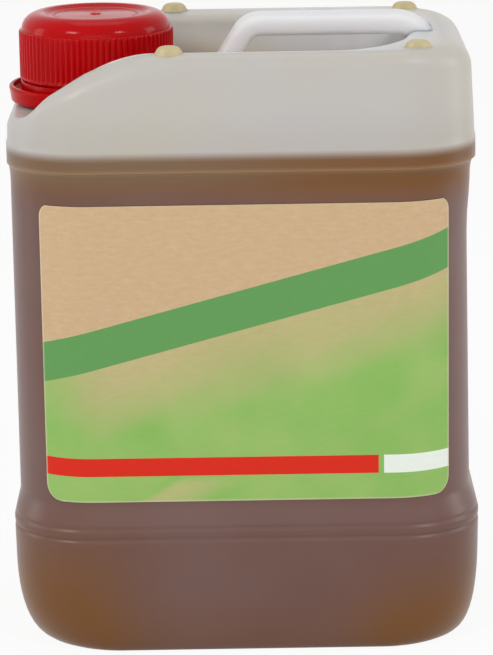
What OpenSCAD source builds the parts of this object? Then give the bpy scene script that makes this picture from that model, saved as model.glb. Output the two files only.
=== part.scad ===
// Stackable blow-moulded oil can with a moulded-in handle and neck, an oil
// filling, a wrap-round front label and a ribbed screw cap with a break ring.
// Millimetres. The origin is the middle of the base, X is the width,
// -Y is the labelled front and Z is up. The cap stands at the -X end.

/* [Body] */
// Width of the body at the foot
foot_w = 159.6; // [140:0.2:200]
// Depth of the body at the foot and at the shoulder
body_d = 108.8; // [100:0.2:130]
// Plan radius of the four upright edges
corner_r = 27; // [18:0.5:34]
// Wall thickness of the blown can
wall = 1.3; // [0.8:0.1:2.4]
// Depth by which the label panel stands in from the foot, at the neck's end
panel_step_neck = 2.2; // [1:0.1:5]
// Depth by which the label panel stands in from the foot, at the closed end
panel_step_far = 3; // [1:0.1:5]
// Depth by which the label panel stands in, at the front and back
panel_step_y = 1.7; // [0.8:0.1:4]
// Step by which the shoulder stands in from the foot, at each end
shoulder_step_x = 1.2; // [0:0.1:3]
// Height of the foot up to its first crease
foot_z = 38; // [32:0.5:46]
// Height of the blend from the foot's first crease to the label panel
foot_blend_h = 15; // [12:0.5:22]
// Height of the blend from the label panel to the shoulder
shoulder_blend_h = 8; // [5:0.5:12]
// Depth of the label panel's upper end below the deck
shoulder_drop = 20.8; // [15:0.1:30]

/* [Base] */
// How far the base rolls in at the neck's end
base_roll_neck = 12; // [8:0.5:24]
// How far the base rolls in at the closed end
base_roll_far = 8.5; // [6:0.5:24]
// How far the front and back of the base roll in
base_roll_y = 5.5; // [4:0.5:12]
// Height over which the base rolls in
base_roll_z = 29.5; // [18:0.5:34]
// How far the foot narrows at each end, from its widest height down
foot_draft = 0.6; // [0:0.1:4]
// Width of the ring that the can stands on
stand_ring_w = 8; // [5:0.5:12]
// Rise of the recessed middle of the base
base_recess = 2; // [0.5:0.1:4]

/* [Top] */
// Height of the floor round the neck and under the handle
deck_z = 180; // [176:0.5:186]
// Height of the stacking ridges over the deck
ridge_h = 26.3; // [20:0.1:32]
// Thickness of a ridge, which is round on top
ridge_t = 10; // [7:0.2:13]
// Radius of the roll at the top of the closed end
end_roll = 9; // [7:0.5:18]
// Lean of the end walls above the shoulder
end_lean = 1.8; // [0:0.1:3]
// Distance from the neck's axis to where the ridges reach their full height
ridge_full_run = 22.4; // [10:0.2:26]
// Run over which the ridges fall towards the neck's end
ridge_fall = 66; // [50:0.5:70]
// Slope of a ridge's inner side, as its run from top to foot
ridge_draft = 4; // [1:0.2:7]
// Solid length between the channel and the closed end
closed_end_l = 23.2; // [20:0.2:32]
// Length of the round end of the channel, under the handle
channel_round_l = 27; // [20:0.5:34]
// Length of a stacking pip
pip_l = 9; // [6:0.2:12]
// Width of a stacking pip
pip_w = 4.6; // [4:0.2:9]
// Height of a stacking pip over its ridge
pip_h = 2.6; // [1.5:0.1:4]

/* [Handle] */
// Rise of the handle's top face over the ridges
handle_rise = 4.7; // [1:0.1:8]
// Thickness of the handle
handle_t = 6.8; // [5:0.1:8]
// Width of the handle, front to back
handle_w = 16; // [12:0.2:24]
// Radius of the handle's long edges
handle_edge_r = 2.7; // [1:0.1:3]
// Distance from the break ring to the corner of the handle's near bend
handle_gap = 25.7; // [22:0.1:40]
// Radius of the handle's bends on its centre line
handle_bend_r = 5; // [4:0.2:8]

/* [Neck and cap] */
// Distance of the neck's axis from the end of the body
neck_inset = 31; // [30:0.1:38]
// Radius of the neck's bore
neck_bore_r = 18.5; // [15:0.1:19.5]
// Wall thickness of the neck
neck_wall = 2.7; // [1.8:0.1:3.2]
// Height of the neck above the deck
neck_h = 28.3; // [26:0.1:32]
// How far the bead stands out, which holds the break ring down
bead_out = 3; // [2:0.1:3.2]
// Radial clearance between the cap's skirt and the neck
cap_clear = 1.8; // [1.4:0.1:2]
// Wall thickness of the cap's skirt, with its ribs
cap_wall = 3.3; // [2.4:0.1:4]
// Number of ribs round the cap
cap_ribs = 80; // [48:1:96]
// Depth of the ribs
rib_depth = 0.55; // [0.3:0.05:0.8]
// Thickness of the cap's top
cap_top_t = 2.2; // [1.6:0.1:3]
// Height of the raised rim round the cap's top
cap_rim_h = 1.1; // [0.3:0.1:1.5]
// Run of the round shoulder between the cap's ribs and its top
cap_shoulder_r = 6.6; // [2:0.1:9]
// Depth of the ribs' upper ends below the cap's ceiling
cap_rib_drop = 2.4; // [1:0.1:5]
// Thickness of the sealing disc
liner_t = 1.2; // [0.8:0.1:2]
// How far the break ring stands out past the cap
ring_flare = 3.9; // [2.5:0.1:4.3]
// Height of the break ring
ring_h = 7; // [5.2:0.1:7.4]
// Clearance under the break ring, down to the deck
ring_low_gap = 2.9; // [2.8:0.1:4.4]
// Depth of the break ring's outer rim below its inner wall
ring_rim_drop = 1.5; // [0:0.1:2]
// Gap between the break ring and the cap
ring_gap = 0.3; // [0.2:0.05:0.6]

/* [Filling and label] */
// Height of the air between the oil and the deck
headspace = 8; // [3:0.5:9]
// Clearance between the oil's solid and the wall
oil_clear = 0.3; // [0.2:0.05:0.6]
// Distance of the label's left edge from the end of the panel
label_left_gap = 10.6; // [6:0.1:30]
// Distance of the label's right edge from the end of the panel
label_right_gap = 8.5; // [6:0.1:30]
// Distance of the label's lower edge from the end of the panel
label_low_gap = 1; // [0:0.1:20]
// Distance of the label's upper edge from the end of the panel
label_high_gap = 3.3; // [0:0.1:20]
// Radius of the label's corners
label_corner_r = 6; // [2:0.5:12]
// Thickness of the label
label_t = 0.25; // [0.1:0.05:0.5]

/* [Hidden] */
$fn = 96;

half_w = foot_w / 2;
half_d = body_d / 2;
panel_low_z = foot_z + foot_blend_h;
panel_high_z = deck_z - shoulder_drop;
shoulder_z = panel_high_z + shoulder_blend_h;
wall_top_z = (shoulder_z + deck_z) / 2 - 1;
ridge_z = deck_z + ridge_h;
deck_lip = 2;
ridge_low_z = deck_z - 0.5;
channel_y = half_d - ridge_t;
crest_flat = 0.8;
fillet_r = (ridge_t - crest_flat) / 2;
foot_fillet = 4;
recess_run = 3;
base_power = 2.3;
foot_wide_z = foot_z + 4;
base_roll_mean = (base_roll_neck + base_roll_far) / 2;
base_shift = (base_roll_neck - base_roll_far) / 2;
panel_in = (panel_step_neck + panel_step_far) / 2;
panel_shift = (panel_step_neck - panel_step_far) / 2;
cap_ledge = 0.35;

// Numbers of facets: along an end, round a corner and along the front
end_n = 2;
corner_n = 7;
front_n = 12;
roll_n = 4;

neck_x = -half_w + neck_inset;
neck_r = neck_bore_r + neck_wall;
lip_z = deck_z + neck_h;
bead_r = neck_r + bead_out;
skirt_r = neck_r + cap_clear;
cap_r = skirt_r + cap_wall;
cap_core_r = cap_r - rib_depth;
cap_top_r = cap_core_r - cap_shoulder_r;
cap_under_z = lip_z + liner_t;
ring_low_z = deck_z + ring_low_gap;
ring_high_z = ring_low_z + ring_h;
cap_low_z = ring_high_z + ring_gap;
cap_rib_h = cap_under_z - cap_rib_drop - cap_low_z;
cap_top_z = cap_under_z + cap_top_t + cap_rim_h;
ring_r = cap_r + ring_flare;
bead_h = 2.2;
bead_high_z = ring_high_z - 0.4;
bead_low_z = bead_high_z - bead_h;

ridge_full_x = neck_x + ridge_full_run;
channel_end_x = half_w - closed_end_l;
channel_turn_x = channel_end_x - channel_round_l;
handle_top_z = ridge_z + handle_rise;
handle_far_x = channel_end_x + 0.5;
handle_near_x = neck_x + ring_r + handle_gap;

oil_z = deck_z - headspace;
label_left = -half_w + panel_in + label_left_gap;
label_right = half_w - panel_in - label_right_gap;
label_low_z = panel_low_z + label_low_gap;
label_high_z = panel_high_z - label_high_gap;
label_air = 0.05;

function lerp(a, b, t) = a + (b - a) * t;
function clamp01(t) = min(max(t, 0), 1);
function smooth(t) = let (u = clamp01(t)) u * u * (3 - 2 * u);

// Stations along half an outline, from the middle of the -X end round the
// front to the middle of the +X end: [stretch, share of that stretch]
stations = concat(
    [for (i = [0 : end_n - 1]) [0, i / end_n]],
    [for (i = [0 : corner_n - 1]) [1, i / corner_n]],
    [for (i = [0 : front_n - 1]) [2, i / front_n]],
    [for (i = [0 : corner_n - 1]) [3, i / corner_n]],
    [for (i = [0 : end_n]) [4, i / end_n]]);

// A point on a rounded rectangle of half sizes a and b
function rect_pt(s, a, b, r) =
    let (t = s[1], q = 90 * s[1])
    s[0] == 0 ? [-a, -t * (b - r)] :
    s[0] == 1 ? [-(a - r) - r * cos(q), -(b - r) - r * sin(q)] :
    s[0] == 2 ? [lerp(-(a - r), a - r, t), -b] :
    s[0] == 3 ? [a - r + r * sin(q), -(b - r) - r * cos(q)] :
    [a, -(1 - t) * (b - r)];

// A point on the outline of the channel, widened by g: straight sides, a
// rounded open end and a half ellipse round the foot of the handle
channel_left = half_w - shoulder_step_x - end_lean - ridge_t;
channel_corner = corner_r - ridge_t;
function channel_pt(s, g) =
    let (a = channel_left + g, b = channel_y + g, r = channel_corner + g, q = 90 * s[1])
    s[0] == 0 ? [-a, -s[1] * (b - r)] :
    s[0] == 1 ? [-(a - r) - r * cos(q), -(b - r) - r * sin(q)] :
    s[0] == 2 ? [lerp(-(a - r), channel_turn_x, s[1]), -b] :
    let (n = corner_n + end_n, k = s[0] == 3 ? s[1] * corner_n : corner_n + s[1] * end_n, e = 90 * k / n)
    [channel_turn_x + (channel_end_x - channel_turn_x + g) * sin(e), -b * cos(e)];

// Height of the crest at x: full height beside the handle, and falling in a
// soft S towards the neck's end
function crest_z(x) = lerp(ridge_low_z, ridge_z, smooth((x - ridge_full_x + ridge_fall) / ridge_fall));

// Radius of the roll between the outer wall and the crest
function crest_roll(s) =
    s[0] == 4 ? end_roll :
    s[0] == 3 ? lerp(fillet_r, end_roll, smooth(s[1])) : fillet_r;

// Rows of the lower body: [height, set-in at the ends, set-in at the front,
// shift towards the closed end where the two ends differ].
// The first two are the raised middle of the base, then comes the ring that
// the can stands on, the roll up from it and the drafted foot.
function base_share(u) = 1 - pow(1 - pow(1 - min(u, 1), base_power), 1 / base_power);
function draft(z) = foot_draft * (1 - z / foot_wide_z);
recess_rows = [for (k = [[base_recess, recess_run], [0, 0]])
    [k[0], base_roll_mean + stand_ring_w + k[1], base_roll_y + stand_ring_w + k[1], corner_r - stand_ring_w - k[1]]];
lower_rows = concat(
    [for (u = [0, 0.02, 0.08, 0.2, 0.4, 0.7, 1])
        let (z = u * base_roll_z, share = base_share(u))
        [z, lerp(draft(z), base_roll_mean, share), lerp(draft(z), base_roll_y, share), base_shift * share]],
    [
        [foot_z, draft(foot_z), draft(foot_z), 0],
        [foot_z + 0.15 * foot_blend_h, 0.4, 0.4, 0],
        [foot_z + 0.3 * foot_blend_h, 0, 0, 0],
        [foot_z + 0.4 * foot_blend_h, 0.6, 0.5, 0],
        [foot_z + 0.7 * foot_blend_h, panel_in * 0.72, panel_step_y * 0.72, panel_shift * 0.72],
        [panel_low_z, panel_in, panel_step_y, panel_shift],
        [panel_high_z, panel_in, panel_step_y, panel_shift],
        [panel_high_z + 0.2 * shoulder_blend_h, lerp(panel_in, shoulder_step_x, 0.25), panel_step_y * 0.75,
            panel_shift * 0.75],
        [panel_high_z + 0.5 * shoulder_blend_h, lerp(panel_in, shoulder_step_x, 0.8), panel_step_y * 0.2,
            panel_shift * 0.2],
        [shoulder_z, shoulder_step_x, 0, 0]
    ]);

function mirror_ring(half) =
    let (n = len(half) - 1)
    concat(half, [for (i = [n - 1 : -1 : 1]) [half[i][0], -half[i][1], half[i][2]]]);

// One ring of the lower body, set in by w from the outer face
function lower_ring(row, w) =
    mirror_ring([for (s = stations)
        let (p = rect_pt(s, half_w - row[1] - w, half_d - row[2] - w, corner_r - w))
        [p[0] + row[3], p[1], row[0] + w * max(0, 1 - row[0] / base_roll_z)]]);

// One ring of the base's recess, whose side the wall follows from within
function recess_ring(row, w) =
    mirror_ring([for (s = stations)
        let (p = rect_pt(s, half_w - row[1] + w, half_d - row[2] + w, row[3] + w))
        [p[0] + base_shift, p[1], row[0] + w]]);

// Rings of the top, set in by w: the outer wall, the roll onto the crest, the
// roll into the channel, its leaning side and the roll onto the deck
function top_ring(kind, t, w) =
    mirror_ring([for (s = stations)
        let (
            a0 = half_w - shoulder_step_x,
            outer = rect_pt(s, a0, half_d, corner_r),
            top = crest_z(outer[0]),
            rise = max(top - deck_z, deck_lip),
            high = top - w,
            roll = max(crest_roll(s) - w, 0.6),
            low = deck_z - w,
            inner_r = max(min(fillet_r, 0.45 * rise) - w, 0.15),
            foot_r = min(foot_fillet, 0.45 * rise) + (w > 0 ? 0.1 : 0),
            lean = ridge_draft * clamp01((rise - deck_lip) / (ridge_z - deck_z)),
            q = 90 * t)
        kind == 0 ?
            let (z = lerp(wall_top_z, high - roll, t),
                 k = clamp01((z - shoulder_z) / (ridge_z - shoulder_z)),
                 p = rect_pt(s, a0 - end_lean * k - w, half_d - w, corner_r - w))
            [p[0], p[1], z] :
        kind == 1 ?
            let (in = roll * (1 - cos(q)),
                 k = clamp01((high - roll - shoulder_z) / (ridge_z - shoulder_z)),
                 p = rect_pt(s, a0 - end_lean * k - w - in, half_d - w - in, corner_r - w - in))
            [p[0], p[1], high - roll * (1 - sin(q))] :
        kind == 2 ?
            let (p = channel_pt(s, w + inner_r * (1 - sin(q))))
            [p[0], p[1], high - inner_r * (1 - cos(q))] :
            let (p = channel_pt(s, w - lean - foot_r * (1 - cos(q))))
            [p[0], p[1], low + foot_r * (1 - sin(q))]]);

// Closed skin through a list of rings, with a fan to the middle at each end
module skin(rings) {
    n = len(rings[0]);
    m = len(rings);
    middle = function(ring) [for (k = [0 : 2]) [for (p = ring) p[k]] * [for (p = ring) 1] / n];
    points = concat([for (ring = rings) each ring], [middle(rings[0]), middle(rings[m - 1])]);
    faces = [for (i = [0 : n - 1]) let (k = (i + 1) % n) each concat(
        [[n * m, i, k]],
        [for (j = [0 : m - 2]) let (a = j * n) each [[a + i, a + n + k, a + k], [a + i, a + n + i, a + n + k]]],
        [[n * m + 1, (m - 1) * n + k, (m - 1) * n + i]])];
    polyhedron(points = points, faces = faces, convexity = 8);
}

// The rings of the can from its base to its deck, set in by w
function body_rings(w) = concat(
    [for (row = recess_rows) recess_ring(row, w)],
    [for (row = lower_rows) lower_ring(row, w)],
    [for (t = [0, 1]) top_ring(0, t, w)],
    [for (i = [1 : roll_n]) top_ring(1, i / roll_n, w)],
    [for (i = [0 : roll_n]) top_ring(2, i / roll_n, w)],
    [for (i = [0 : roll_n - 1]) top_ring(3, i / (roll_n - 1), w)]);

// Centre line of the handle from inside the closed end to inside the deck
handle_z = handle_top_z - handle_t / 2;
handle_foot_z = deck_z + 13.4;
handle_corners = [
    [handle_far_x + 13, handle_z - 10],
    [handle_far_x, handle_z],
    [handle_near_x, handle_z],
    [handle_near_x - 0.93 * (handle_z - handle_foot_z), handle_foot_z],
    [handle_near_x - 0.93 * (handle_z - handle_foot_z) - 3, deck_z - wall]
];

// Points of one corner of a bent line, rounded to radius r
function bend_pts(a, b, c, r, n) =
    let (
        u = (a - b) / norm(a - b),
        v = (c - b) / norm(c - b),
        half = acos(u * v) / 2,
        back = r / tan(half),
        centre = b + (u + v) / norm(u + v) * r / sin(half),
        from = b + u * back - centre,
        turn = 2 * (90 - half),
        way = u[0] * v[1] - u[1] * v[0] > 0 ? -1 : 1)
    [for (i = [0 : n]) let (q = way * turn * i / n)
        centre + [from[0] * cos(q) - from[1] * sin(q), from[0] * sin(q) + from[1] * cos(q)]];

handle_line = concat(
    [handle_corners[0]],
    [for (i = [1 : 3]) each bend_pts(handle_corners[i - 1], handle_corners[i], handle_corners[i + 1],
        handle_bend_r, 4)],
    [handle_corners[4]]);

// Section of the handle: a flat bar with round long edges
handle_section = [for (c = [[1, 1, 0], [-1, 1, 90], [-1, -1, 180], [1, -1, 270]], q = [0, 30, 60, 90])
    [c[0] * (handle_w / 2 - handle_edge_r) + handle_edge_r * cos(q + c[2]),
     c[1] * (handle_t / 2 - handle_edge_r) + handle_edge_r * sin(q + c[2])]];

module handle() {
    n = len(handle_line) - 1;
    rings = [for (i = [0 : n])
        let (
            ahead = handle_line[min(i + 1, n)] - handle_line[max(i - 1, 0)],
            along = ahead / norm(ahead))
        [for (p = handle_section)
            [handle_line[i][0] - along[1] * p[1], p[0], handle_line[i][1] + along[0] * p[1]]]];
    skin(rings);
}

// Neck with a bead over the break ring
module neck_blank() {
    translate([neck_x, 0, 0]) rotate_extrude() polygon([
        [0, deck_z - wall],
        [neck_r + 2, deck_z - wall],
        [neck_r + 2, deck_z],
        [neck_r + 0.6, deck_z + 0.6],
        [neck_r, deck_z + 2],
        [neck_r, bead_low_z - 0.8],
        [bead_r, bead_low_z],
        [bead_r, bead_high_z - 0.8],
        [bead_r - 0.8, bead_high_z],
        [neck_r, bead_high_z],
        [neck_r, lip_z - 0.6],
        [neck_r - 0.6, lip_z],
        [0, lip_z]
    ]);
}

// Low oval pips that locate the next can on top
module pips() {
    sink = 2;
    for (x = [ridge_full_x + 4, channel_end_x + 2], side = [-1, 1])
        translate([x, side * (half_d - ridge_t / 2), crest_z(x)])
            skin([for (e = [-1, 0, 25, 50, 72])
                let (k = e < 0 ? 1 : cos(e), z = e < 0 ? -sink : pip_h * sin(e) / sin(72))
                [for (q = [0 : 20 : 340]) [pip_l / 2 * k * cos(q), pip_w / 2 * k * sin(q), z]]]);
}

module can() {
    color([0.85, 0.83, 0.78])
        difference() {
            union() {
                skin(body_rings(0));
                neck_blank();
                handle();
                pips();
            }
            skin(body_rings(wall));
            translate([neck_x, 0, deck_z - 3 * wall]) cylinder(r = neck_bore_r, h = neck_h + 4 * wall);
        }
}

// The filling, up to its level surface
module oil() {
    w = wall + oil_clear;
    color([0.42, 0.24, 0.1])
        skin(concat(
            [for (row = recess_rows) recess_ring(row, w)],
            [for (row = lower_rows) if (row[0] < oil_z - 1) lower_ring(row, w)],
            [lower_ring([oil_z, shoulder_step_x, 0, 0], w)]));
}

// Paper label that lies on the front panel and wraps onto both corners
module label() {
    a = half_w - panel_in;
    b = half_d - panel_step_y;
    left_q = asin(clamp01((-label_left - (a - corner_r)) / corner_r));
    right_q = asin(clamp01((label_right - (a - corner_r)) / corner_r));
    n = 6;
    function band(g) = concat(
        [for (i = [n : -1 : 0]) let (q = left_q * i / n)
            [-(a - corner_r) - (corner_r + g) * sin(q), -(b - corner_r) - (corner_r + g) * cos(q)]],
        [for (i = [0 : n]) let (q = right_q * i / n)
            [a - corner_r + (corner_r + g) * sin(q), -(b - corner_r) - (corner_r + g) * cos(q)]]);
    outer = band(label_t + label_air);
    inner = band(label_air);
    color([0.78, 0.66, 0.45])
        translate([panel_shift, 0, 0]) intersection() {
            translate([0, 0, label_low_z])
                linear_extrude(label_high_z - label_low_z)
                    polygon(concat(outer, [for (i = [len(inner) - 1 : -1 : 0]) inner[i]]));
            rotate([90, 0, 0]) linear_extrude(half_d + 1)
                label_outline();
        }
}

// Front outline of the label with its rounded corners
module label_outline() {
    r = label_corner_r;
    xs = [label_left, label_right];
    zs = [label_low_z, label_high_z];
    polygon([for (c = [[1, 0, 270], [1, 1, 0], [0, 1, 90], [0, 0, 180]], q = [0, 22.5, 45, 67.5, 90])
        [xs[c[0]] + (c[0] == 1 ? -r : r) + r * cos(q + c[2]),
         zs[c[1]] + (c[1] == 1 ? -r : r) + r * sin(q + c[2])]]);
}

// Ribbed outline of the cap's skirt
module rib_ring() {
    polygon([for (i = [0 : cap_ribs - 1], k = [0 : 3])
        let (q = 360 * (i + [0, 0.3, 0.5, 0.8][k]) / cap_ribs, r = cap_r - (k < 2 ? 0 : rib_depth))
        [r * cos(q), r * sin(q)]]);
}

module screw_cap() {
    rib_high_z = cap_low_z + cap_rib_h;
    plate_z = cap_top_z - cap_rim_h;
    color([0.78, 0.07, 0.09])
        translate([neck_x, 0, 0])
            difference() {
                union() {
                    intersection() {
                        translate([0, 0, cap_low_z]) linear_extrude(cap_rib_h) rib_ring();
                        rotate_extrude() polygon([
                            [0, cap_low_z], [cap_r - 0.4, cap_low_z], [cap_r, cap_low_z + 0.8],
                            [cap_r, rib_high_z - 0.8], [cap_core_r, rib_high_z], [0, rib_high_z]]);
                    }
                    rotate_extrude() polygon(concat(
                        [[0, cap_low_z], [cap_core_r, cap_low_z], [cap_core_r, rib_high_z]],
                        [for (q = [0 : 15 : 90])
                            [cap_top_r + (cap_core_r - cap_ledge - cap_top_r) * cos(q),
                             rib_high_z + (cap_top_z - rib_high_z) * sin(q)]],
                        [[cap_top_r - 1.2, cap_top_z - 0.1],
                         [cap_top_r - 5, plate_z],
                         [0, plate_z]]));
                }
                translate([0, 0, cap_low_z - 1]) cylinder(r = skirt_r, h = cap_under_z - cap_low_z + 1);
            }
}

// Soft disc that seals the lip of the neck
module cap_liner() {
    color([0.92, 0.92, 0.9])
        translate([neck_x, 0, lip_z]) cylinder(r = skirt_r - 0.5, h = liner_t);
}

// Ring that stays on the neck when its thin bridges break
module tamper_ring() {
    bridge_n = 12;
    hook_r = neck_r + 0.6;
    inner_r = bead_r + 0.4;
    wall_r = cap_r - 0.3;
    gutter_r = ring_r - 1.7;
    rim_z = ring_high_z - ring_rim_drop;
    color([0.72, 0.06, 0.08])
        translate([neck_x, 0, 0]) {
            rotate_extrude() polygon([
                [hook_r, ring_low_z + 0.8],
                [hook_r + 1.5, ring_low_z + 0.3],
                [ring_r - 1.4, ring_low_z],
                [ring_r - 0.7, ring_low_z + 0.3],
                [ring_r, rim_z - 0.7],
                [ring_r - 0.4, rim_z],
                [gutter_r + 0.2, rim_z],
                [gutter_r, rim_z - 2],
                [wall_r, rim_z - 2],
                [wall_r, ring_high_z],
                [inner_r, ring_high_z],
                [inner_r, bead_low_z - 0.3],
                [hook_r, bead_low_z - 1.3]
            ]);
            for (i = [0 : bridge_n - 1])
                rotate(360 * i / bridge_n)
                    translate([inner_r + 0.2, -0.7, ring_high_z - 0.2]) cube([0.9, 1.4, 0.15 + ring_gap]);
        }
}

can();
oil();
label();
screw_cap();
cap_liner();
tamper_ring();
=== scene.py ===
"""A stackable blow-moulded oil can: its body, filling, wrap-round label, screw cap and break ring.

Sizes are millimetres in the classes and become metres only when a mesh is made. The origin is the
middle of the base, X is the width with the neck at -X, -Y is the labelled front and Z is up.
"""
import logging
import math
from dataclasses import dataclass
from enum import IntEnum

import bpy
import numpy as np
from mathutils import Matrix, Vector


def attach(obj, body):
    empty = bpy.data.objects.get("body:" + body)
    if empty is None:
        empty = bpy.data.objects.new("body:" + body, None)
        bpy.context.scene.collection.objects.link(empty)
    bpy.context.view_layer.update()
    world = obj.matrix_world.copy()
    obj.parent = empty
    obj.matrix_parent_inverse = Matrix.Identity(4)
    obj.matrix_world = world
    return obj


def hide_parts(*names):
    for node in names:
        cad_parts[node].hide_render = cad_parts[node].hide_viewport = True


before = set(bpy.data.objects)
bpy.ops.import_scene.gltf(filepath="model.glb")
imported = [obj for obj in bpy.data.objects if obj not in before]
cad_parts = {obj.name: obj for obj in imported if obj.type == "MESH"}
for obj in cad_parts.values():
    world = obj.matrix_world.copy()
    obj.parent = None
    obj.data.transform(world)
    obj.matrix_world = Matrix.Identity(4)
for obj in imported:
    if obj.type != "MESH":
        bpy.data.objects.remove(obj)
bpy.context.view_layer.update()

MM = 0.001
SHARP_ANGLE = math.radians(42)

# The most of either side that a rounded corner takes.
CORNER_SHARE = 0.45

# The sockets of a colour Mix node: its share, its two colours and its result.
SHARE, FIRST, SECOND, MIXED = 0, 6, 7, 2

# The middle values of a noise texture, which a Map Range node stretches to the whole of 0 to 1.
MIDDLE_VALUES = {"From Min": 0.35, "From Max": 0.65}

Number = float | np.ndarray
Outline = tuple[np.ndarray, np.ndarray]
Colour = tuple[float, float, float, float]
Place = tuple[float, float, float]

log = logging.getLogger("oil_can")


def lerp(start: Number, end: Number, share: Number) -> Number:
    """Return the value a share of the way from start to end."""
    return start + (end - start) * share


def smooth(share: Number) -> Number:
    """Return the share eased in and out: 3 t squared less 2 t cubed, held between 0 and 1."""
    t = np.clip(share, 0.0, 1.0)
    return t * t * (3.0 - 2.0 * t)


def ease(value: Number, places: tuple[float, float]) -> Number:
    """Return the share eased from 0 at the first of two places to 1 at the second."""
    start, end = places
    return smooth((value - start) / (end - start))


def linear(code: str) -> Colour:
    """Turn an sRGB hex colour into the linear colour that a shader takes.

    A value v up to 0.04045 becomes v / 12.92, and a larger one ((v + 0.055) / 1.055)^2.4.

    Args:
        code: Six hex digits, such as "C6C0B5".

    Returns:
        Linear red, green, blue and an alpha of 1.
    """
    parts = np.array([int(code[i:i + 2], 16) for i in (0, 2, 4)]) / 255.0
    values = np.where(parts <= 0.04045, parts / 12.92, ((parts + 0.055) / 1.055) ** 2.4)
    return (float(values[0]), float(values[1]), float(values[2]), 1.0)


def per_metre(size_mm: float) -> float:
    """Return the texture scale, on coordinates in metres, of a pattern of this size."""
    return 1.0 / (size_mm * MM)


@dataclass
class Surface:
    """One or more closed surfaces: points in millimetres, four-sided and three-sided faces."""

    points: np.ndarray
    quads: np.ndarray
    triangles: np.ndarray

    def volume(self) -> float:
        """Work out the enclosed volume: a sixth of the triple products of the triangles' corners.

        Returns:
            The volume in cubic millimetres, negative where the faces point inwards.
        """
        halves = (self.quads[:, [0, 1, 2]], self.quads[:, [0, 2, 3]], self.triangles)
        corners = self.points[np.concatenate(halves)]
        normals = np.cross(corners[:, 1], corners[:, 2])
        return float(np.einsum("ij,ij->", corners[:, 0], normals)) / 6.0

    def outward(self) -> "Surface":
        """Turn the faces outwards, told by the sign of the volume.

        Returns:
            This surface, or one with the corners of every face in the other order.
        """
        if self.volume() >= 0:
            return self
        return Surface(self.points, self.quads[:, ::-1], self.triangles[:, ::-1])


def join(parts: list[Surface]) -> Surface:
    """Join closed surfaces into one, shifting each one's face numbers past the points before it.

    Args:
        parts: The surfaces, in order.

    Returns:
        One surface with all their points and faces.
    """
    starts = np.cumsum([0] + [len(part.points) for part in parts[:-1]])
    return Surface(
        np.concatenate([part.points for part in parts]),
        np.concatenate([part.quads + start for part, start in zip(parts, starts)]),
        np.concatenate([part.triangles + start for part, start in zip(parts, starts)]),
    )


def ring_quads(rows: int, around: int, closed: bool = False) -> np.ndarray:
    """Number the quads between neighbouring rings of points.

    Args:
        rows: Number of rings.
        around: Number of points round each ring.
        closed: Whether the last ring meets the first one.

    Returns:
        Quads as rows of four point numbers: column i and i + 1 of ring j, then of ring j + 1.
    """
    here = np.arange(around)
    after = (here + 1) % around
    first = np.arange(rows if closed else rows - 1)[:, None]
    second = (first + 1) % rows
    a = first * around
    b = second * around
    return np.stack([a + here, a + after, b + after, b + here], axis=-1).reshape(-1, 4)


def loft(rings: np.ndarray) -> Surface:
    """Carry a closed surface through rings and close both ends with a fan to the ring's middle.

    Args:
        rings: Points of shape (rows, around, 3).

    Returns:
        The closed surface, with its faces outwards.
    """
    rows, around = rings.shape[:2]
    points = np.concatenate([rings.reshape(-1, 3), rings[[0, -1]].mean(axis=1)])
    here = np.arange(around)
    after = (here + 1) % around
    last = (rows - 1) * around
    pole = np.full(around, rows * around)
    fans = [np.stack([pole, after, here], -1), np.stack([pole + 1, last + here, last + after], -1)]
    return Surface(points, ring_quads(rows, around), np.concatenate(fans)).outward()


def soften(corners: np.ndarray, cut: float, steps: int, closed: bool = False) -> np.ndarray:
    """Round the corners of a bent line.

    Each corner P becomes the quadratic curve from a point `cut` before it to one `cut` after it,
    drawn towards P: (1 - t)^2 A + 2 t (1 - t) P + t^2 B. The cut is at most 0.45 of either side.

    Args:
        corners: Corner points of shape (n, 2).
        cut: Distance from the corner at which its curve starts.
        steps: Points along each curve.
        closed: Whether the line returns to its start. An open line keeps its two end points.

    Returns:
        The rounded line's points, in order.
    """
    before = np.roll(corners, 1, axis=0) - corners
    after = np.roll(corners, -1, axis=0) - corners
    reach_before = np.linalg.norm(before, axis=1, keepdims=True)
    reach_after = np.linalg.norm(after, axis=1, keepdims=True)
    kept = np.minimum(cut, CORNER_SHARE * np.minimum(reach_before, reach_after))
    start = corners + before / reach_before * kept
    end = corners + after / reach_after * kept
    t = np.linspace(0, 1, steps)[None, :, None]
    curves = (1 - t) ** 2 * start[:, None] + 2 * t * (1 - t) * corners[:, None] + t ** 2 * end[:, None]
    if closed:
        return curves.reshape(-1, 2)
    return np.concatenate([corners[:1], curves[1:-1].reshape(-1, 2), corners[-1:]])


def revolve(profile: np.ndarray, axis_x: float, around: int, closed: bool = False) -> Surface:
    """Turn a profile about an upright axis: X is the axis and r cos q, and Y is r sin q.

    Args:
        profile: Radius and height of each point, shape (n, 2). An open profile starts and ends
            near the axis, where a fan closes it.
        axis_x: X of the axis.
        around: Points round the axis.
        closed: Whether the profile returns to its start, as a ring's does.

    Returns:
        The closed surface, with its faces outwards.
    """
    q = np.linspace(0, 2 * np.pi, around, endpoint=False)
    radius = profile[:, :1]
    height = profile[:, 1:]
    rings = np.stack(np.broadcast_arrays(axis_x + radius * np.cos(q), radius * np.sin(q), height), -1)
    if not closed:
        return loft(rings)
    none = np.zeros((0, 3), int)
    return Surface(rings.reshape(-1, 3), ring_quads(len(profile), around, True), none).outward()


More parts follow.
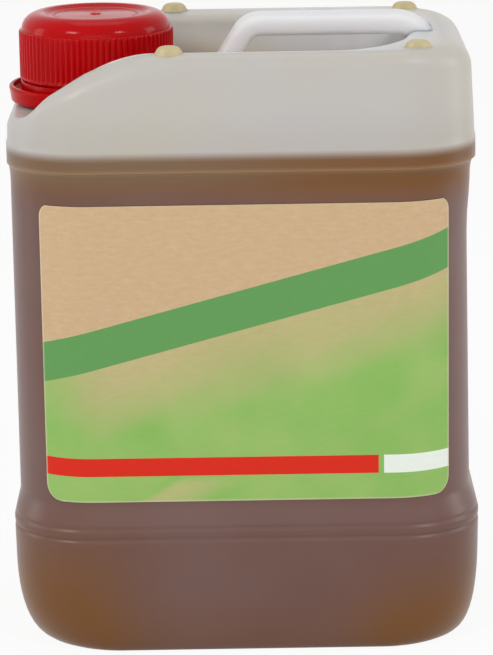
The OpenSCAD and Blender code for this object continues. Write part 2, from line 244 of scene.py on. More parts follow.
@dataclass(frozen=True)
class ThreadRidge:
    """One right-handed thread ridge about an upright axis.

    Its centre rises by the pitch in each turn. Its section is a rounded hump, with a negative
    height where it points inwards. The height swells over the first and last `swell_turns`, and
    the ridge is rooted a little inside its wall.
    """

    axis_x: float
    root_r: float
    height: float
    width: float
    pitch: float
    low_z: float
    turns: float
    rooted: float = 0.3
    swell_turns: float = 0.1
    end_swell: float = 0.08
    steps_in_turn: int = 72
    around: int = 14

    def surface(self) -> Surface:
        """Make the ridge.

        At a place q round the section, its height is that of the hump times (1 + cos q) / 2, and
        it stands off its centre line by half the width times sin q (0.8 - 0.2 cos q).

        Returns:
            The closed surface.
        """
        along = np.linspace(0, self.turns, int(self.steps_in_turn * self.turns))[:, None]
        swell = smooth(np.minimum(along, self.turns - along) / self.swell_turns + self.end_swell)
        q = np.linspace(0, 2 * np.pi, self.around, endpoint=False)[None, :]
        sunk = self.rooted * np.sign(self.height)
        out = self.root_r - sunk + (self.height + sunk) * swell * (0.5 + 0.5 * np.cos(q))
        up = 0.5 * self.width * swell * np.sin(q) * (0.8 - 0.2 * np.cos(q))
        turn = 2 * np.pi * along
        z = self.low_z + self.pitch * along + up
        return loft(np.stack([self.axis_x + out * np.cos(turn), out * np.sin(turn), z], -1))


def add_numbers(mesh: bpy.types.Mesh, numbers: dict[str, np.ndarray]) -> None:
    """Give each point of a mesh its numbers, which a finish reads by the attribute's name.

    Args:
        mesh: The mesh.
        numbers: One number for each point, by attribute name.
    """
    for key, values in numbers.items():
        attribute = mesh.attributes.new(key, "FLOAT", "POINT")
        attribute.data.foreach_set("value", values.ravel().astype(np.float32))


def add_piece(name: str, surface: Surface, material: bpy.types.Material, body: str,
              node: str, numbers: dict[str, np.ndarray] | None = None) -> bpy.types.Object:
    """Make a mesh piece that stands for a node of the frame.

    Args:
        name: Name of the piece.
        surface: Its closed surface, in millimetres.
        material: Its finish.
        body: The body that it moves with.
        node: The node that it replaces.
        numbers: One number for each point, by attribute name, that the finish reads.

    Returns:
        The new object, at the origin.
    """
    mesh = bpy.data.meshes.new(name)
    mesh.vertices.add(len(surface.points))
    mesh.vertices.foreach_set("co", (surface.points * MM).astype(np.float32).ravel())
    sides = np.concatenate([np.full(len(surface.quads), 4), np.full(len(surface.triangles), 3)])
    corners = np.concatenate([surface.quads.ravel(), surface.triangles.ravel()])
    mesh.loops.add(len(corners))
    mesh.loops.foreach_set("vertex_index", corners)
    mesh.polygons.add(len(sides))
    mesh.polygons.foreach_set("loop_start", np.concatenate([[0], np.cumsum(sides)[:-1]]))
    mesh.polygons.foreach_set("use_smooth", np.ones(len(sides), bool))
    mesh.update(calc_edges=True)
    mesh.set_sharp_from_angle(angle=SHARP_ANGLE)
    add_numbers(mesh, numbers or {})
    mesh.validate()
    mesh.materials.append(material)
    piece = bpy.data.objects.new(name, mesh)
    bpy.context.scene.collection.objects.link(piece)
    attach(piece, body)
    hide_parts(node)
    log.info("%s: %d points, %d faces, rides on %s", name, len(mesh.vertices), len(mesh.polygons), body)
    return piece


def add_node(owner: bpy.types.Material | bpy.types.World, kind: str, values: dict | None = None,
             links: dict | None = None, **settings: object) -> bpy.types.Node:
    """Add a shader node to a material or to the world.

    Args:
        owner: The material or world, which uses nodes.
        kind: Blender's name for the node's type.
        values: Plain values by input socket, named or numbered.
        links: Output sockets by the input socket that they feed.
        **settings: Properties of the node, such as its operation.

    Returns:
        The new node.
    """
    tree = owner.node_tree
    node = tree.nodes.new(kind)
    for key, value in settings.items():
        setattr(node, key, value)
    for key, value in (values or {}).items():
        node.inputs[key].default_value = value
    for key, output in (links or {}).items():
        tree.links.new(output, node.inputs[key])
    return node


def new_material(name: str) -> bpy.types.Material:
    """Make an empty material that uses nodes.

    Args:
        name: The real material's name and how it was made.

    Returns:
        The material, without any node.
    """
    material = bpy.data.materials.new(name)
    material.use_nodes = True
    material.node_tree.nodes.clear()
    return material


@dataclass(frozen=True)
class NaturalPolyethylene:
    """Natural high-density polyethylene, blown into a sanded mould.

    The wall is milky and lets the oil show through, so its colour follows how much oil lies behind
    it. The sanded mould leaves a satin skin, whose grain is drawn coarser than the real one so that
    it shows, and the blowing leaves it faintly uneven. Where the plastic is solid, light goes deep
    into it and it looks white. That white is also painted on as a glow of light through the bar, the
    channel's sides and the deck round the neck. A painted highlight runs along the shoulder's crease,
    and the amber and the tan also carry painted warm light and painted shade.
    """

    empty: str = "C4BEB1"
    empty_cool: str = "C2BEBB"
    over_oil: str = "72544D"
    over_oil_dark: str = "6C4C45"
    shallow: str = "7A5F46"
    # Amber: thin oil's tint, with painted light coming through it at the base's ends, painted shade under the
    # shoulder's edge and a painted warm glow in the channel.
    amber: str = "74491D"
    # A painted highlight along the shoulder's lower edge.
    crease: str = "AC8C66"
    # The solid bar's white, partly painted glow of light through it, also painted on the channel's sides and
    # round the neck's foot as a glow of light through the wall.
    solid: str = "E9E8EA"
    # The thick pips' own tan, also painted on the channel's sides beside the cap as a warm glow of light from
    # behind.
    thick_and_glow: str = "C4B68C"
    roughness: float = 0.36
    ior: float = 1.54
    specular: float = 0.3
    sheen: float = 0.1
    sheen_roughness: float = 0.35
    cloud_mm: float = 55.0
    uneven_mm: float = 24.0
    uneven_height_mm: float = 0.6
    uneven_bump: float = 0.35
    grain_mm: float = 0.6
    grain_height_mm: float = 0.1
    grain_bump: float = 0.08
    light_reach_mm: float = 8.0
    light_reach_rgb: tuple[float, float, float] = (1.0, 0.9, 0.8)
    wall_glow: float = 0.12
    solid_glow: float = 0.9

    def build(self) -> bpy.types.Material:
        """Make the material, which reads the numbers that the can gives to each point.

        The milky and the brown wall each drift between two tints. Over the brown lie the lighter
        band under the level, the amber, which is partly painted light and shade, and the painted
        highlight along the crease, each by its own share. The share of oil mixes milky and brown. The
        white of the solid bar and of the painted glow, and the tan of the thick lumps and of a painted
        warm glow, lie over all.

        Returns:
            The material.
        """
        skin = new_material("natural_hdpe_blow_moulded")
        place = add_node(skin, "ShaderNodeTexCoord").outputs["Object"]
        share = {name: add_node(skin, "ShaderNodeAttribute", attribute_name=name).outputs["Fac"]
                 for name in ("oil", "shallow", "amber", "crease", "solid", "thick_and_glow")}
        cloud = add_node(skin, "ShaderNodeTexNoise", {"Scale": per_metre(self.cloud_mm), "Detail": 2.0},
                         {"Vector": place})
        patches = add_node(skin, "ShaderNodeMapRange", MIDDLE_VALUES, {"Value": cloud.outputs["Fac"]})
        drift = {SHARE: patches.outputs["Result"]}
        milky = add_node(skin, "ShaderNodeMix", {FIRST: linear(self.empty), SECOND: linear(self.empty_cool)},
                         drift, data_type="RGBA")
        wall = add_node(skin, "ShaderNodeMix",
                        {FIRST: linear(self.over_oil), SECOND: linear(self.over_oil_dark)},
                        drift, data_type="RGBA")
        for name, tint in (("shallow", self.shallow), ("amber", self.amber), ("crease", self.crease)):
            wall = add_node(skin, "ShaderNodeMix", {SECOND: linear(tint)},
                            {SHARE: share[name], FIRST: wall.outputs[MIXED]}, data_type="RGBA")
        wall = add_node(skin, "ShaderNodeMix", None, {SHARE: share["oil"], FIRST: milky.outputs[MIXED],
                        SECOND: wall.outputs[MIXED]}, data_type="RGBA")
        for name, tint in (("solid", self.solid), ("thick_and_glow", self.thick_and_glow)):
            wall = add_node(skin, "ShaderNodeMix", {SECOND: linear(tint)},
                            {SHARE: share[name], FIRST: wall.outputs[MIXED]}, data_type="RGBA")

        uneven = add_node(skin, "ShaderNodeTexNoise", {"Scale": per_metre(self.uneven_mm), "Detail": 1.0},
                          {"Vector": place})
        grain = add_node(skin, "ShaderNodeTexNoise", {"Scale": per_metre(self.grain_mm), "Detail": 2.0},
                         {"Vector": place})
        waves = add_node(skin, "ShaderNodeBump",
                         {"Strength": self.uneven_bump, "Distance": self.uneven_height_mm * MM},
                         {"Height": uneven.outputs["Fac"]})
        satin = add_node(skin, "ShaderNodeBump",
                         {"Strength": self.grain_bump, "Distance": self.grain_height_mm * MM},
                         {"Height": grain.outputs["Fac"], "Normal": waves.outputs["Normal"]})
        glow = add_node(skin, "ShaderNodeMapRange", {"To Min": self.wall_glow, "To Max": self.solid_glow},
                        {"Value": share["solid"]})
        shader = add_node(skin, "ShaderNodeBsdfPrincipled", {
            "Roughness": self.roughness, "IOR": self.ior, "Specular IOR Level": self.specular,
            "Sheen Weight": self.sheen, "Sheen Roughness": self.sheen_roughness,
            "Subsurface Radius": self.light_reach_rgb, "Subsurface Scale": self.light_reach_mm * MM,
        }, {"Base Color": wall.outputs[MIXED], "Normal": satin.outputs["Normal"],
            "Subsurface Weight": glow.outputs["Result"]})
        add_node(skin, "ShaderNodeOutputMaterial", None, {"Surface": shader.outputs["BSDF"]})
        return skin


# The values of the paper's fibres and specks that a Map Range node stretches, and what it makes
# of the highest of the specks.
FIBRE_VALUES = {"From Min": 0.35, "From Max": 0.7}
SPECK_VALUES = {"From Min": 0.62, "From Max": 0.74, "To Max": 0.55}


@dataclass(frozen=True)
class PrintedKraftPaper:
    """Self-adhesive kraft paper, printed in flat inks and cut with round corners.

    Fine fibres lie along the web and show through the inks. The fields are a diagonal green band, a
    green ground that deepens below it, a red bar and a white box. The UV map runs from 0 to 1 over
    the flat label, and the node tree turns it into millimetres.
    """

    width: float
    height: float
    kraft: str = "D3B690"
    kraft_deep: str = "C6A67E"
    fibre: str = "A98A62"
    band: str = "619A55"
    ground: str = "9ABE68"
    ground_deep: str = "85B85A"
    sweep: str = "BAB87C"
    bar: str = "DA2208"
    box: str = "EDF3EA"
    # The pale line round the label: the cut paper's own paleness and a painted highlight on its edge.
    edge: str = "E3D9BC"
    band_low_left: float = 41.1
    band_low_right: float = 78.0
    band_height: float = 13.5
    bar_low: float = 9.0
    bar_height: float = 6.3
    bar_right_gap: float = 25.6
    box_gap: float = 1.8
    thin_green: float = 0.3
    deepen_run: float = 27.0
    deepen_power: float = 1.6
    left_green: float = 0.5
    left_green_run: float = 24.0
    wave_share: float = 0.06
    wave_mm: float = 3.1
    long_wave_mm: float = 7.7
    wave_bend_mm: float = 30.0
    sweep_share: float = 0.85
    sweep_rise: float = 0.62
    sweep_low: tuple[float, float] = (-37.0, -25.0)
    sweep_high: tuple[float, float] = (-19.5, -22.5)
    sweep_under_bar: float = 2.0
    fibre_mm: float = 1.4
    fibre_stretch: float = 0.35
    speck_mm: float = 1.1
    cloud_mm: float = 33.0
    tooth_height_mm: float = 0.1
    tooth_bump: float = 0.15
    tooth_shade: float = 0.14
    tooth_least: float = 0.93
    roughness: float = 0.62
    ior: float = 1.5
    specular: float = 0.3

    def tints(self, across: np.ndarray, up: np.ndarray) -> dict[str, np.ndarray]:
        """Work out the soft fields of the print at places on the flat label, in millimetres.

        An offset o under the band has 0.3 + 0.7 (o / run)^1.6 of full green, a little more or less
        along diagonal waves. The left end is green at once. One pale sweep crosses the foot.

        Args:
            across: Distances from the left edge.
            up: Distances from the lower edge.

        Returns:
            The shares of green and of the pale sweep, by attribute name.
        """
        band_low = lerp(self.band_low_left, self.band_low_right, across / self.width)
        depth = np.clip((band_low - up) / self.deepen_run, 0.0, 1.0)
        rise = up - self.sweep_rise * across
        long_waves = np.sin(rise / self.long_wave_mm + up / self.wave_bend_mm)
        waves = self.wave_share * np.sin(rise / self.wave_mm) * long_waves
        left = self.left_green * (1.0 - smooth(across / self.left_green_run))
        green = self.thin_green + (1.0 - self.thin_green) * depth ** self.deepen_power + left + waves
        pale = ease(rise, self.sweep_high) * ease(rise, self.sweep_low)
        pale = self.sweep_share * pale * smooth((self.bar_low - up) / self.sweep_under_bar)
        return {"green": np.clip(green, 0.0, 1.0), "pale": pale}

    def build(self) -> bpy.types.Material:
        """Make the printed material, which reads the UV map and the attributes green, pale and edge.

        The band's lower edge is a straight line across the label. A place is in a field where its
        distance from the field's middle is less than half the field's height.

        Returns:
            The material.
        """
        paper = new_material("kraft_paper_printed")
        flat = add_node(paper, "ShaderNodeUVMap", uv_map="flat_label").outputs["UV"]
        spot = add_node(paper, "ShaderNodeMapping", {"Scale": (self.width, self.height, 1.0)},
                        {"Vector": flat}).outputs["Vector"]
        axes = add_node(paper, "ShaderNodeSeparateXYZ", None, {0: spot})
        across = axes.outputs["X"]
        up = axes.outputs["Y"]
        share = {name: add_node(paper, "ShaderNodeAttribute", attribute_name=name).outputs["Fac"]
                 for name in ("green", "pale", "edge")}

        web = add_node(paper, "ShaderNodeMapping", {"Scale": (self.fibre_stretch, 1.0, 1.0)},
                       {"Vector": spot})
        fibres = add_node(paper, "ShaderNodeTexNoise", {"Scale": 1 / self.fibre_mm, "Detail": 5.0,
                          "Roughness": 0.7}, {"Vector": web.outputs["Vector"]}).outputs["Fac"]
        specks = add_node(paper, "ShaderNodeTexNoise", {"Scale": 1 / self.speck_mm, "Detail": 3.0,
                          "Roughness": 0.8}, {"Vector": spot}).outputs["Fac"]
        clouds = add_node(paper, "ShaderNodeTexNoise", {"Scale": 1 / self.cloud_mm, "Detail": 2.0},
                          {"Vector": spot}).outputs["Fac"]
        fibre_share = add_node(paper, "ShaderNodeMapRange", FIBRE_VALUES, {"Value": fibres})
        speck_share = add_node(paper, "ShaderNodeMapRange", SPECK_VALUES, {"Value": specks})
        cloud_share = add_node(paper, "ShaderNodeMapRange", MIDDLE_VALUES, {"Value": clouds})
        pulp = add_node(paper, "ShaderNodeMix", {FIRST: linear(self.kraft), SECOND: linear(self.kraft_deep)},
                        {SHARE: fibre_share.outputs["Result"]}, data_type="RGBA")
        kraft = add_node(paper, "ShaderNodeMix", {SECOND: linear(self.fibre)},
                         {SHARE: speck_share.outputs["Result"], FIRST: pulp.outputs[MIXED]}, data_type="RGBA")
        ground = add_node(paper, "ShaderNodeMix",
                          {FIRST: linear(self.ground), SECOND: linear(self.ground_deep)},
                          {SHARE: cloud_share.outputs["Result"]}, data_type="RGBA")
        tinted = add_node(paper, "ShaderNodeMix", None, {SHARE: share["green"], FIRST: kraft.outputs[MIXED],
                          SECOND: ground.outputs[MIXED]}, data_type="RGBA")
        swept = add_node(paper, "ShaderNodeMix", {SECOND: linear(self.sweep)},
                         {SHARE: share["pale"], FIRST: tinted.outputs[MIXED]}, data_type="RGBA")

        slope = (self.band_low_right - self.band_low_left) / self.width
        band_low = add_node(paper, "ShaderNodeMath", {1: slope, 2: self.band_low_left}, {0: across},
                            operation="MULTIPLY_ADD")
        over_low = add_node(paper, "ShaderNodeMath", None, {0: up, 1: band_low.outputs[0]},
                            operation="SUBTRACT")
        under_band = add_node(paper, "ShaderNodeMath", {1: 0.0}, {0: over_low.outputs[0]},
                              operation="LESS_THAN")
        half_band = self.band_height / 2
        in_band = add_node(paper, "ShaderNodeMath", {1: half_band, 2: half_band}, {0: over_low.outputs[0]},
                           operation="COMPARE")
        half_bar = self.bar_height / 2
        in_bar = add_node(paper, "ShaderNodeMath", {1: self.bar_low + half_bar, 2: half_bar}, {0: up},
                          operation="COMPARE")
        bar_right = self.width - self.bar_right_gap
        left_of_end = add_node(paper, "ShaderNodeMath", {1: bar_right}, {0: across}, operation="LESS_THAN")
        right_of_gap = add_node(paper, "ShaderNodeMath", {1: bar_right + self.box_gap}, {0: across},
                                operation="GREATER_THAN")
        on_bar = add_node(paper, "ShaderNodeMath", None, {0: in_bar.outputs[0], 1: left_of_end.outputs[0]},
                          operation="MULTIPLY")
        on_box = add_node(paper, "ShaderNodeMath", None, {0: in_bar.outputs[0], 1: right_of_gap.outputs[0]},
                          operation="MULTIPLY")
        fields = add_node(paper, "ShaderNodeMix", None, {SHARE: under_band.outputs[0],
                          FIRST: kraft.outputs[MIXED], SECOND: swept.outputs[MIXED]}, data_type="RGBA")
        for place, ink in ((in_band, self.band), (on_bar, self.bar), (on_box, self.box)):
            fields = add_node(paper, "ShaderNodeMix", {SECOND: linear(ink)},
                              {SHARE: place.outputs[0], FIRST: fields.outputs[MIXED]}, data_type="RGBA")
        # The pale line round the edge: the cut paper's own paleness and a painted highlight.
        cut_edge_and_highlight = add_node(paper, "ShaderNodeMix", {SECOND: linear(self.edge)},
                        {SHARE: share["edge"], FIRST: fields.outputs[MIXED]}, data_type="RGBA")
        tooth = add_node(paper, "ShaderNodeMath", {1: self.tooth_shade, 2: self.tooth_least}, {0: fibres},
                         operation="MULTIPLY_ADD")
        final = add_node(paper, "ShaderNodeMix", {SHARE: 1.0}, {FIRST: cut_edge_and_highlight.outputs[MIXED],
                         SECOND: tooth.outputs[0]}, data_type="RGBA", blend_type="MULTIPLY")
        relief = add_node(paper, "ShaderNodeBump",
                          {"Strength": self.tooth_bump, "Distance": self.tooth_height_mm * MM},
                          {"Height": fibres})
        shader = add_node(paper, "ShaderNodeBsdfPrincipled", {
            "Roughness": self.roughness, "IOR": self.ior, "Specular IOR Level": self.specular,
        }, {"Base Color": final.outputs[MIXED], "Normal": relief.outputs["Normal"]})
        add_node(paper, "ShaderNodeOutputMaterial", None, {"Surface": shader.outputs["BSDF"]})
        return paper


@dataclass(frozen=True)
class MouldedPolypropylene:
    """Red polypropylene, injection moulded in a polished tool: even colour and a soft gloss.

    The tool's fine marks are drawn coarser than the real ones so that they show a little.
    """

    name: str = "polypropylene_injection_moulded"
    colour: str = "C4040A"
    deep: str = "AA0208"
    roughness: float = 0.14
    specular: float = 0.11
    ior: float = 1.49
    glow: float = 0.08
    light_reach_mm: float = 1.0
    light_reach_rgb: tuple[float, float, float] = (1.0, 0.1, 0.05)
    flow_mm: float = 18.0
    grain_mm: float = 0.8
    grain_height_mm: float = 0.1
    grain_bump: float = 0.06

    def build(self) -> bpy.types.Material:
        """Make the material, whose colour drifts a little with the flow of the moulding.

        Returns:
            The material.
        """
        red = new_material(self.name)
        place = add_node(red, "ShaderNodeTexCoord").outputs["Object"]
        flow = add_node(red, "ShaderNodeTexNoise", {"Scale": per_metre(self.flow_mm), "Detail": 2.0},
                        {"Vector": place})
        grain = add_node(red, "ShaderNodeTexNoise", {"Scale": per_metre(self.grain_mm), "Detail": 2.0},
                         {"Vector": place})
        mixed = add_node(red, "ShaderNodeMix", {FIRST: linear(self.colour), SECOND: linear(self.deep)},
                         {SHARE: flow.outputs["Fac"]}, data_type="RGBA")
        skin = add_node(red, "ShaderNodeBump",
                        {"Strength": self.grain_bump, "Distance": self.grain_height_mm * MM},
                        {"Height": grain.outputs["Fac"]})
        shader = add_node(red, "ShaderNodeBsdfPrincipled", {
            "Roughness": self.roughness, "IOR": self.ior, "Specular IOR Level": self.specular,
            "Subsurface Weight": self.glow, "Subsurface Radius": self.light_reach_rgb,
            "Subsurface Scale": self.light_reach_mm * MM,
        }, {"Base Color": mixed.outputs[MIXED], "Normal": skin.outputs["Normal"]})
        add_node(red, "ShaderNodeOutputMaterial", None, {"Surface": shader.outputs["BSDF"]})
        return red


@dataclass(frozen=True)
class ChainOil:
    """Clear brown plant oil in bulk: deep amber, with a wet mirror of a surface."""

    thin: str = "8A4E1C"
    deep: str = "4A240C"
    swirl_mm: float = 40.0
    roughness: float = 0.05
    ior: float = 1.47

    def build(self) -> bpy.types.Material:
        """Make the material, whose tint drifts between thin and deep oil with the swirl.

        Returns:
            The material.
        """
        oil = new_material("plant_oil_clear_brown")
        place = add_node(oil, "ShaderNodeTexCoord").outputs["Object"]
        swirl = add_node(oil, "ShaderNodeTexNoise", {"Scale": per_metre(self.swirl_mm)}, {"Vector": place})
        tint = add_node(oil, "ShaderNodeMix", {FIRST: linear(self.thin), SECOND: linear(self.deep)},
                        {SHARE: swirl.outputs["Fac"]}, data_type="RGBA")
        shader = add_node(oil, "ShaderNodeBsdfPrincipled", {"Roughness": self.roughness, "IOR": self.ior},
                          {"Base Color": tint.outputs[MIXED]})
        add_node(oil, "ShaderNodeOutputMaterial", None, {"Surface": shader.outputs["BSDF"]})
        return oil


@dataclass(frozen=True)
class FoamedPolyethylene:
    """White foamed polyethylene disc, cut from sheet: matt, with the print of fine closed cells."""

    colour: str = "ECEBE6"
    shade: str = "DCDAD2"
    cell_mm: float = 0.7
    cell_depth_mm: float = 0.2
    cell_bump: float = 0.3
    roughness: float = 0.85
    ior: float = 1.5

    def build(self) -> bpy.types.Material:
        """Make the material, with a cell pattern that is drawn a little coarse so that it shows.

        Returns:
            The material.
        """
        foam = new_material("polyethylene_foam_cut")
        place = add_node(foam, "ShaderNodeTexCoord").outputs["Object"]
        cells = add_node(foam, "ShaderNodeTexVoronoi", {"Scale": per_metre(self.cell_mm)}, {"Vector": place})
        mixed = add_node(foam, "ShaderNodeMix", {FIRST: linear(self.shade), SECOND: linear(self.colour)},
                         {SHARE: cells.outputs["Distance"]}, data_type="RGBA")
        dents = add_node(foam, "ShaderNodeBump",
                         {"Strength": self.cell_bump, "Distance": self.cell_depth_mm * MM},
                         {"Height": cells.outputs["Distance"]})
        shader = add_node(foam, "ShaderNodeBsdfPrincipled", {"Roughness": self.roughness, "IOR": self.ior},
                          {"Base Color": mixed.outputs[MIXED], "Normal": dents.outputs["Normal"]})
        add_node(foam, "ShaderNodeOutputMaterial", None, {"Surface": shader.outputs["BSDF"]})
        return foam


class Stretch(IntEnum):
    """Stretches of half an outline, from the middle of the neck's end round to the closed end."""

    NECK_END = 0
    NECK_CORNER = 1
    FRONT = 2
    FAR_CORNER = 3
    FAR_END = 4


# Stations along each stretch.
STATIONS = {Stretch.NECK_END: 12, Stretch.NECK_CORNER: 22, Stretch.FRONT: 62,
            Stretch.FAR_CORNER: 22, Stretch.FAR_END: 9}

# Rings of the side above the base's roll: the first height, the end and the gap between rings,
# which is small where the side turns.
SIDE_SPANS = [(30.5, 38.5, 1.6), (38.5, 46.5, 0.3), (46.5, 54.0, 0.7), (56.0, 157.4, 6.5),
              (158.2, 164.2, 0.6), (164.4, 166.9, 0.15), (167.2, 173.6, 0.8)]

# Rings of the base: the share of the way out from the middle, and the share of the way from the
# recess down to the ring that the can stands on.
BASE_OUT = np.array([0.12, 0.35, 0.6, 0.82, 0.95, 1.0, 1.0, 1.0, 1.0, 1.0, 1.0])[:, None]
BASE_DOWN = np.array([0, 0, 0, 0, 0, 0, 0.2, 0.45, 0.7, 0.9, 1.0])[:, None]

# The side of a pip, from its root to near its top: the share of its half length and half width,
# and the height over the crest.
PIP_SIDE = np.array([[1.24, -2.0], [1.18, -0.2], [1.07, 0.2], [1.0, 0.65], [0.94, 1.2],
                     [0.85, 1.7], [0.71, 2.15], [0.5, 2.46], [0.22, 2.6]])


@dataclass
class NeckSizes:
    """Sizes shared by the neck, the cap and the break ring."""

    x: float = -48.8
    bore_r: float = 18.5
    wall: float = 2.7
    lip_z: float = 208.3
    bead_out: float = 3.0
    bead_low: float = 187.3
    bead_high: float = 189.5
    bead_slope: float = 0.8
    root_fillet: float = 2.0
    root_top: float = 2.4
    root_steps: int = 6
    edge_cut: float = 0.6
    edge_steps: int = 4
    pitch: float = 6.0
    thread_height: float = 1.15
    thread_width: float = 2.3
    thread_gap: float = 2.6
    thread_turns: float = 2.2

    @property
    def radius(self) -> float:
        """Return the neck's outer radius."""
        return self.bore_r + self.wall


@dataclass(frozen=True)
class WallShades:
    """Where the wall looks brown, amber, white or thick: the numbers that its finish reads.

    A pair gives the places where a share starts, at 0, and where it is whole, at 1. The oil shows
    below its level with a soft edge, as a faint painted glow just above it, and faintly through the
    deck and the feet of the channel's sides. It is lighter and more amber where less of it lies
    behind the wall: at the ends of the base and just under its level. At the ends of the base the
    amber is partly painted light coming through the thin oil. A band under the shoulder's edge is
    painted amber as shade, and a painted highlight runs along that edge. Painted glow whitens the
    channel's sides and the deck round the neck's foot, and paints the channel warm and tan beside the
    cap, as if lit through the wall.
    """

    oil_z: tuple[float, float] = (174.4, 170.2)
    # A faint painted glow of the oil's tint just above its level.
    glow_z: tuple[float, float] = (190.0, 174.0)
    glow: float = 0.1
    # The channel's oil tint, amber and, beside the cap, tan: the oil shown faintly through the deck, with a
    # painted warm glow of light through the wall.
    channel_oil_z: tuple[float, float] = (204.0, 182.0)
    channel_oil: float = 0.26
    channel_amber_glow: tuple[float, float] = (0.3, 1.0)
    # The amber at the base's ends: thin oil's tint, partly painted light coming through it.
    end_x: tuple[float, float] = (22.0, 62.0)
    end_top: tuple[float, float] = (58.0, 46.0)
    end_top_x: tuple[float, float] = (0.0, 20.0)
    end_run: float = 42.0
    base_z: tuple[float, float] = (24.0, 4.0)
    base_amber: float = 0.3
    right_x: tuple[float, float] = (-30.0, 45.0)
    shallow_z: tuple[float, float] = (157.5, 164.5)
    level_z: tuple[float, float] = (152.0, 164.0)
    level_amber: tuple[float, float] = (0.12, 0.85)
    # A band under the shoulder's edge painted warmer, as shade under the overhang.
    under_crease_low: tuple[float, float] = (150.0, 158.0)
    under_crease_high: tuple[float, float] = (165.5, 161.5)
    under_crease: float = 0.25
    # A painted highlight along the shoulder's lower edge: its height, half width and share.
    crease_z: float = 166.6
    crease_half: float = 0.75
    crease: float = 0.42
    # Beside the cap the channel gets more painted warm glow: amber and tan.
    cap_x: tuple[float, float] = (20.0, -5.0)
    channel_warm_glow: tuple[float, float] = (0.05, 0.45)
    # Painted glow: the channel's sides, higher up, and the deck round the neck's foot are whitened as if lit
    # through the wall.
    channel_painted_glow_z: tuple[float, float] = (186.0, 200.0)
    channel_painted_glow: float = 0.9
    neck_painted_glow_off: tuple[float, float] = (11.0, 3.0)
    neck_painted_glow_z: tuple[float, float] = (178.0, 180.0)
    neck_painted_glow: float = 0.75

    def numbers(self, points: np.ndarray, off_neck: np.ndarray,
                kinds: dict[str, np.ndarray]) -> dict[str, np.ndarray]:
        """Work out the numbers of each point.

        The share of the painted highlight along the crease is c exp(-(d / h)^2) at a height d off it.

        Args:
            points: The can's points, shape (n, 3).
            off_neck: Distance of each point from the neck's outer wall.
            kinds: 1 at the points that are sunk, within, on the solid bar or on the pips, and 0 elsewhere.

        Returns:
            The shares of oil, of the lighter band under the level, of amber, of the painted crease
            highlight, of white with its painted glow, and of tan with its painted warm glow.
        """
        x, _, z = points.T
        sunk = kinds["sunk"]
        under = np.maximum(ease(z, self.oil_z), self.glow * ease(z, self.glow_z))
        oil = np.where(sunk > 0, self.channel_oil * ease(z, self.channel_oil_z), under)
        oil = oil * (1 - kinds["solid"]) * (1 - kinds["thick_and_glow"])
        # Amber at the base's ends is thin oil's tint, partly painted light coming through it.
        end_top = lerp(*self.end_top, ease(x, self.end_top_x))
        amber = ease(np.abs(x), self.end_x) * smooth((end_top - z) / self.end_run)
        amber = amber + self.base_amber * ease(z, self.base_z)
        amber = amber + lerp(*self.level_amber, ease(x, self.right_x)) * ease(z, self.level_z)
        # Painted shade: the band under the shoulder's edge is made warmer.
        amber = amber + self.under_crease * ease(z, self.under_crease_high) * ease(z, self.under_crease_low)
        beside_cap = ease(x, self.cap_x)
        # Painted glow: the channel's sides and the deck round the neck's foot are whitened as if lit through
        # the wall.
        white = np.maximum(self.channel_painted_glow * sunk * ease(z, self.channel_painted_glow_z),
                           self.neck_painted_glow * ease(off_neck, self.neck_painted_glow_off) * ease(z, self.neck_painted_glow_z))
        return {
            "oil": np.where(kinds["within"] > 0, under, oil),
            "shallow": ease(z, self.shallow_z),
            # In the channel the amber is a painted warm glow, most beside the cap.
            "amber": np.where(sunk > 0, lerp(*self.channel_amber_glow, beside_cap), np.clip(amber, 0, 1)),
            # A painted highlight along the shoulder's lower edge.
            "crease": self.crease * np.exp(-((z - self.crease_z) / self.crease_half) ** 2),
            "solid": np.maximum(kinds["solid"], white),
            # The pips' own tan, and a painted warm glow on the channel's sides beside the cap.
            "thick_and_glow": np.maximum(kinds["thick_and_glow"], lerp(*self.channel_warm_glow, beside_cap) * sunk),
        }


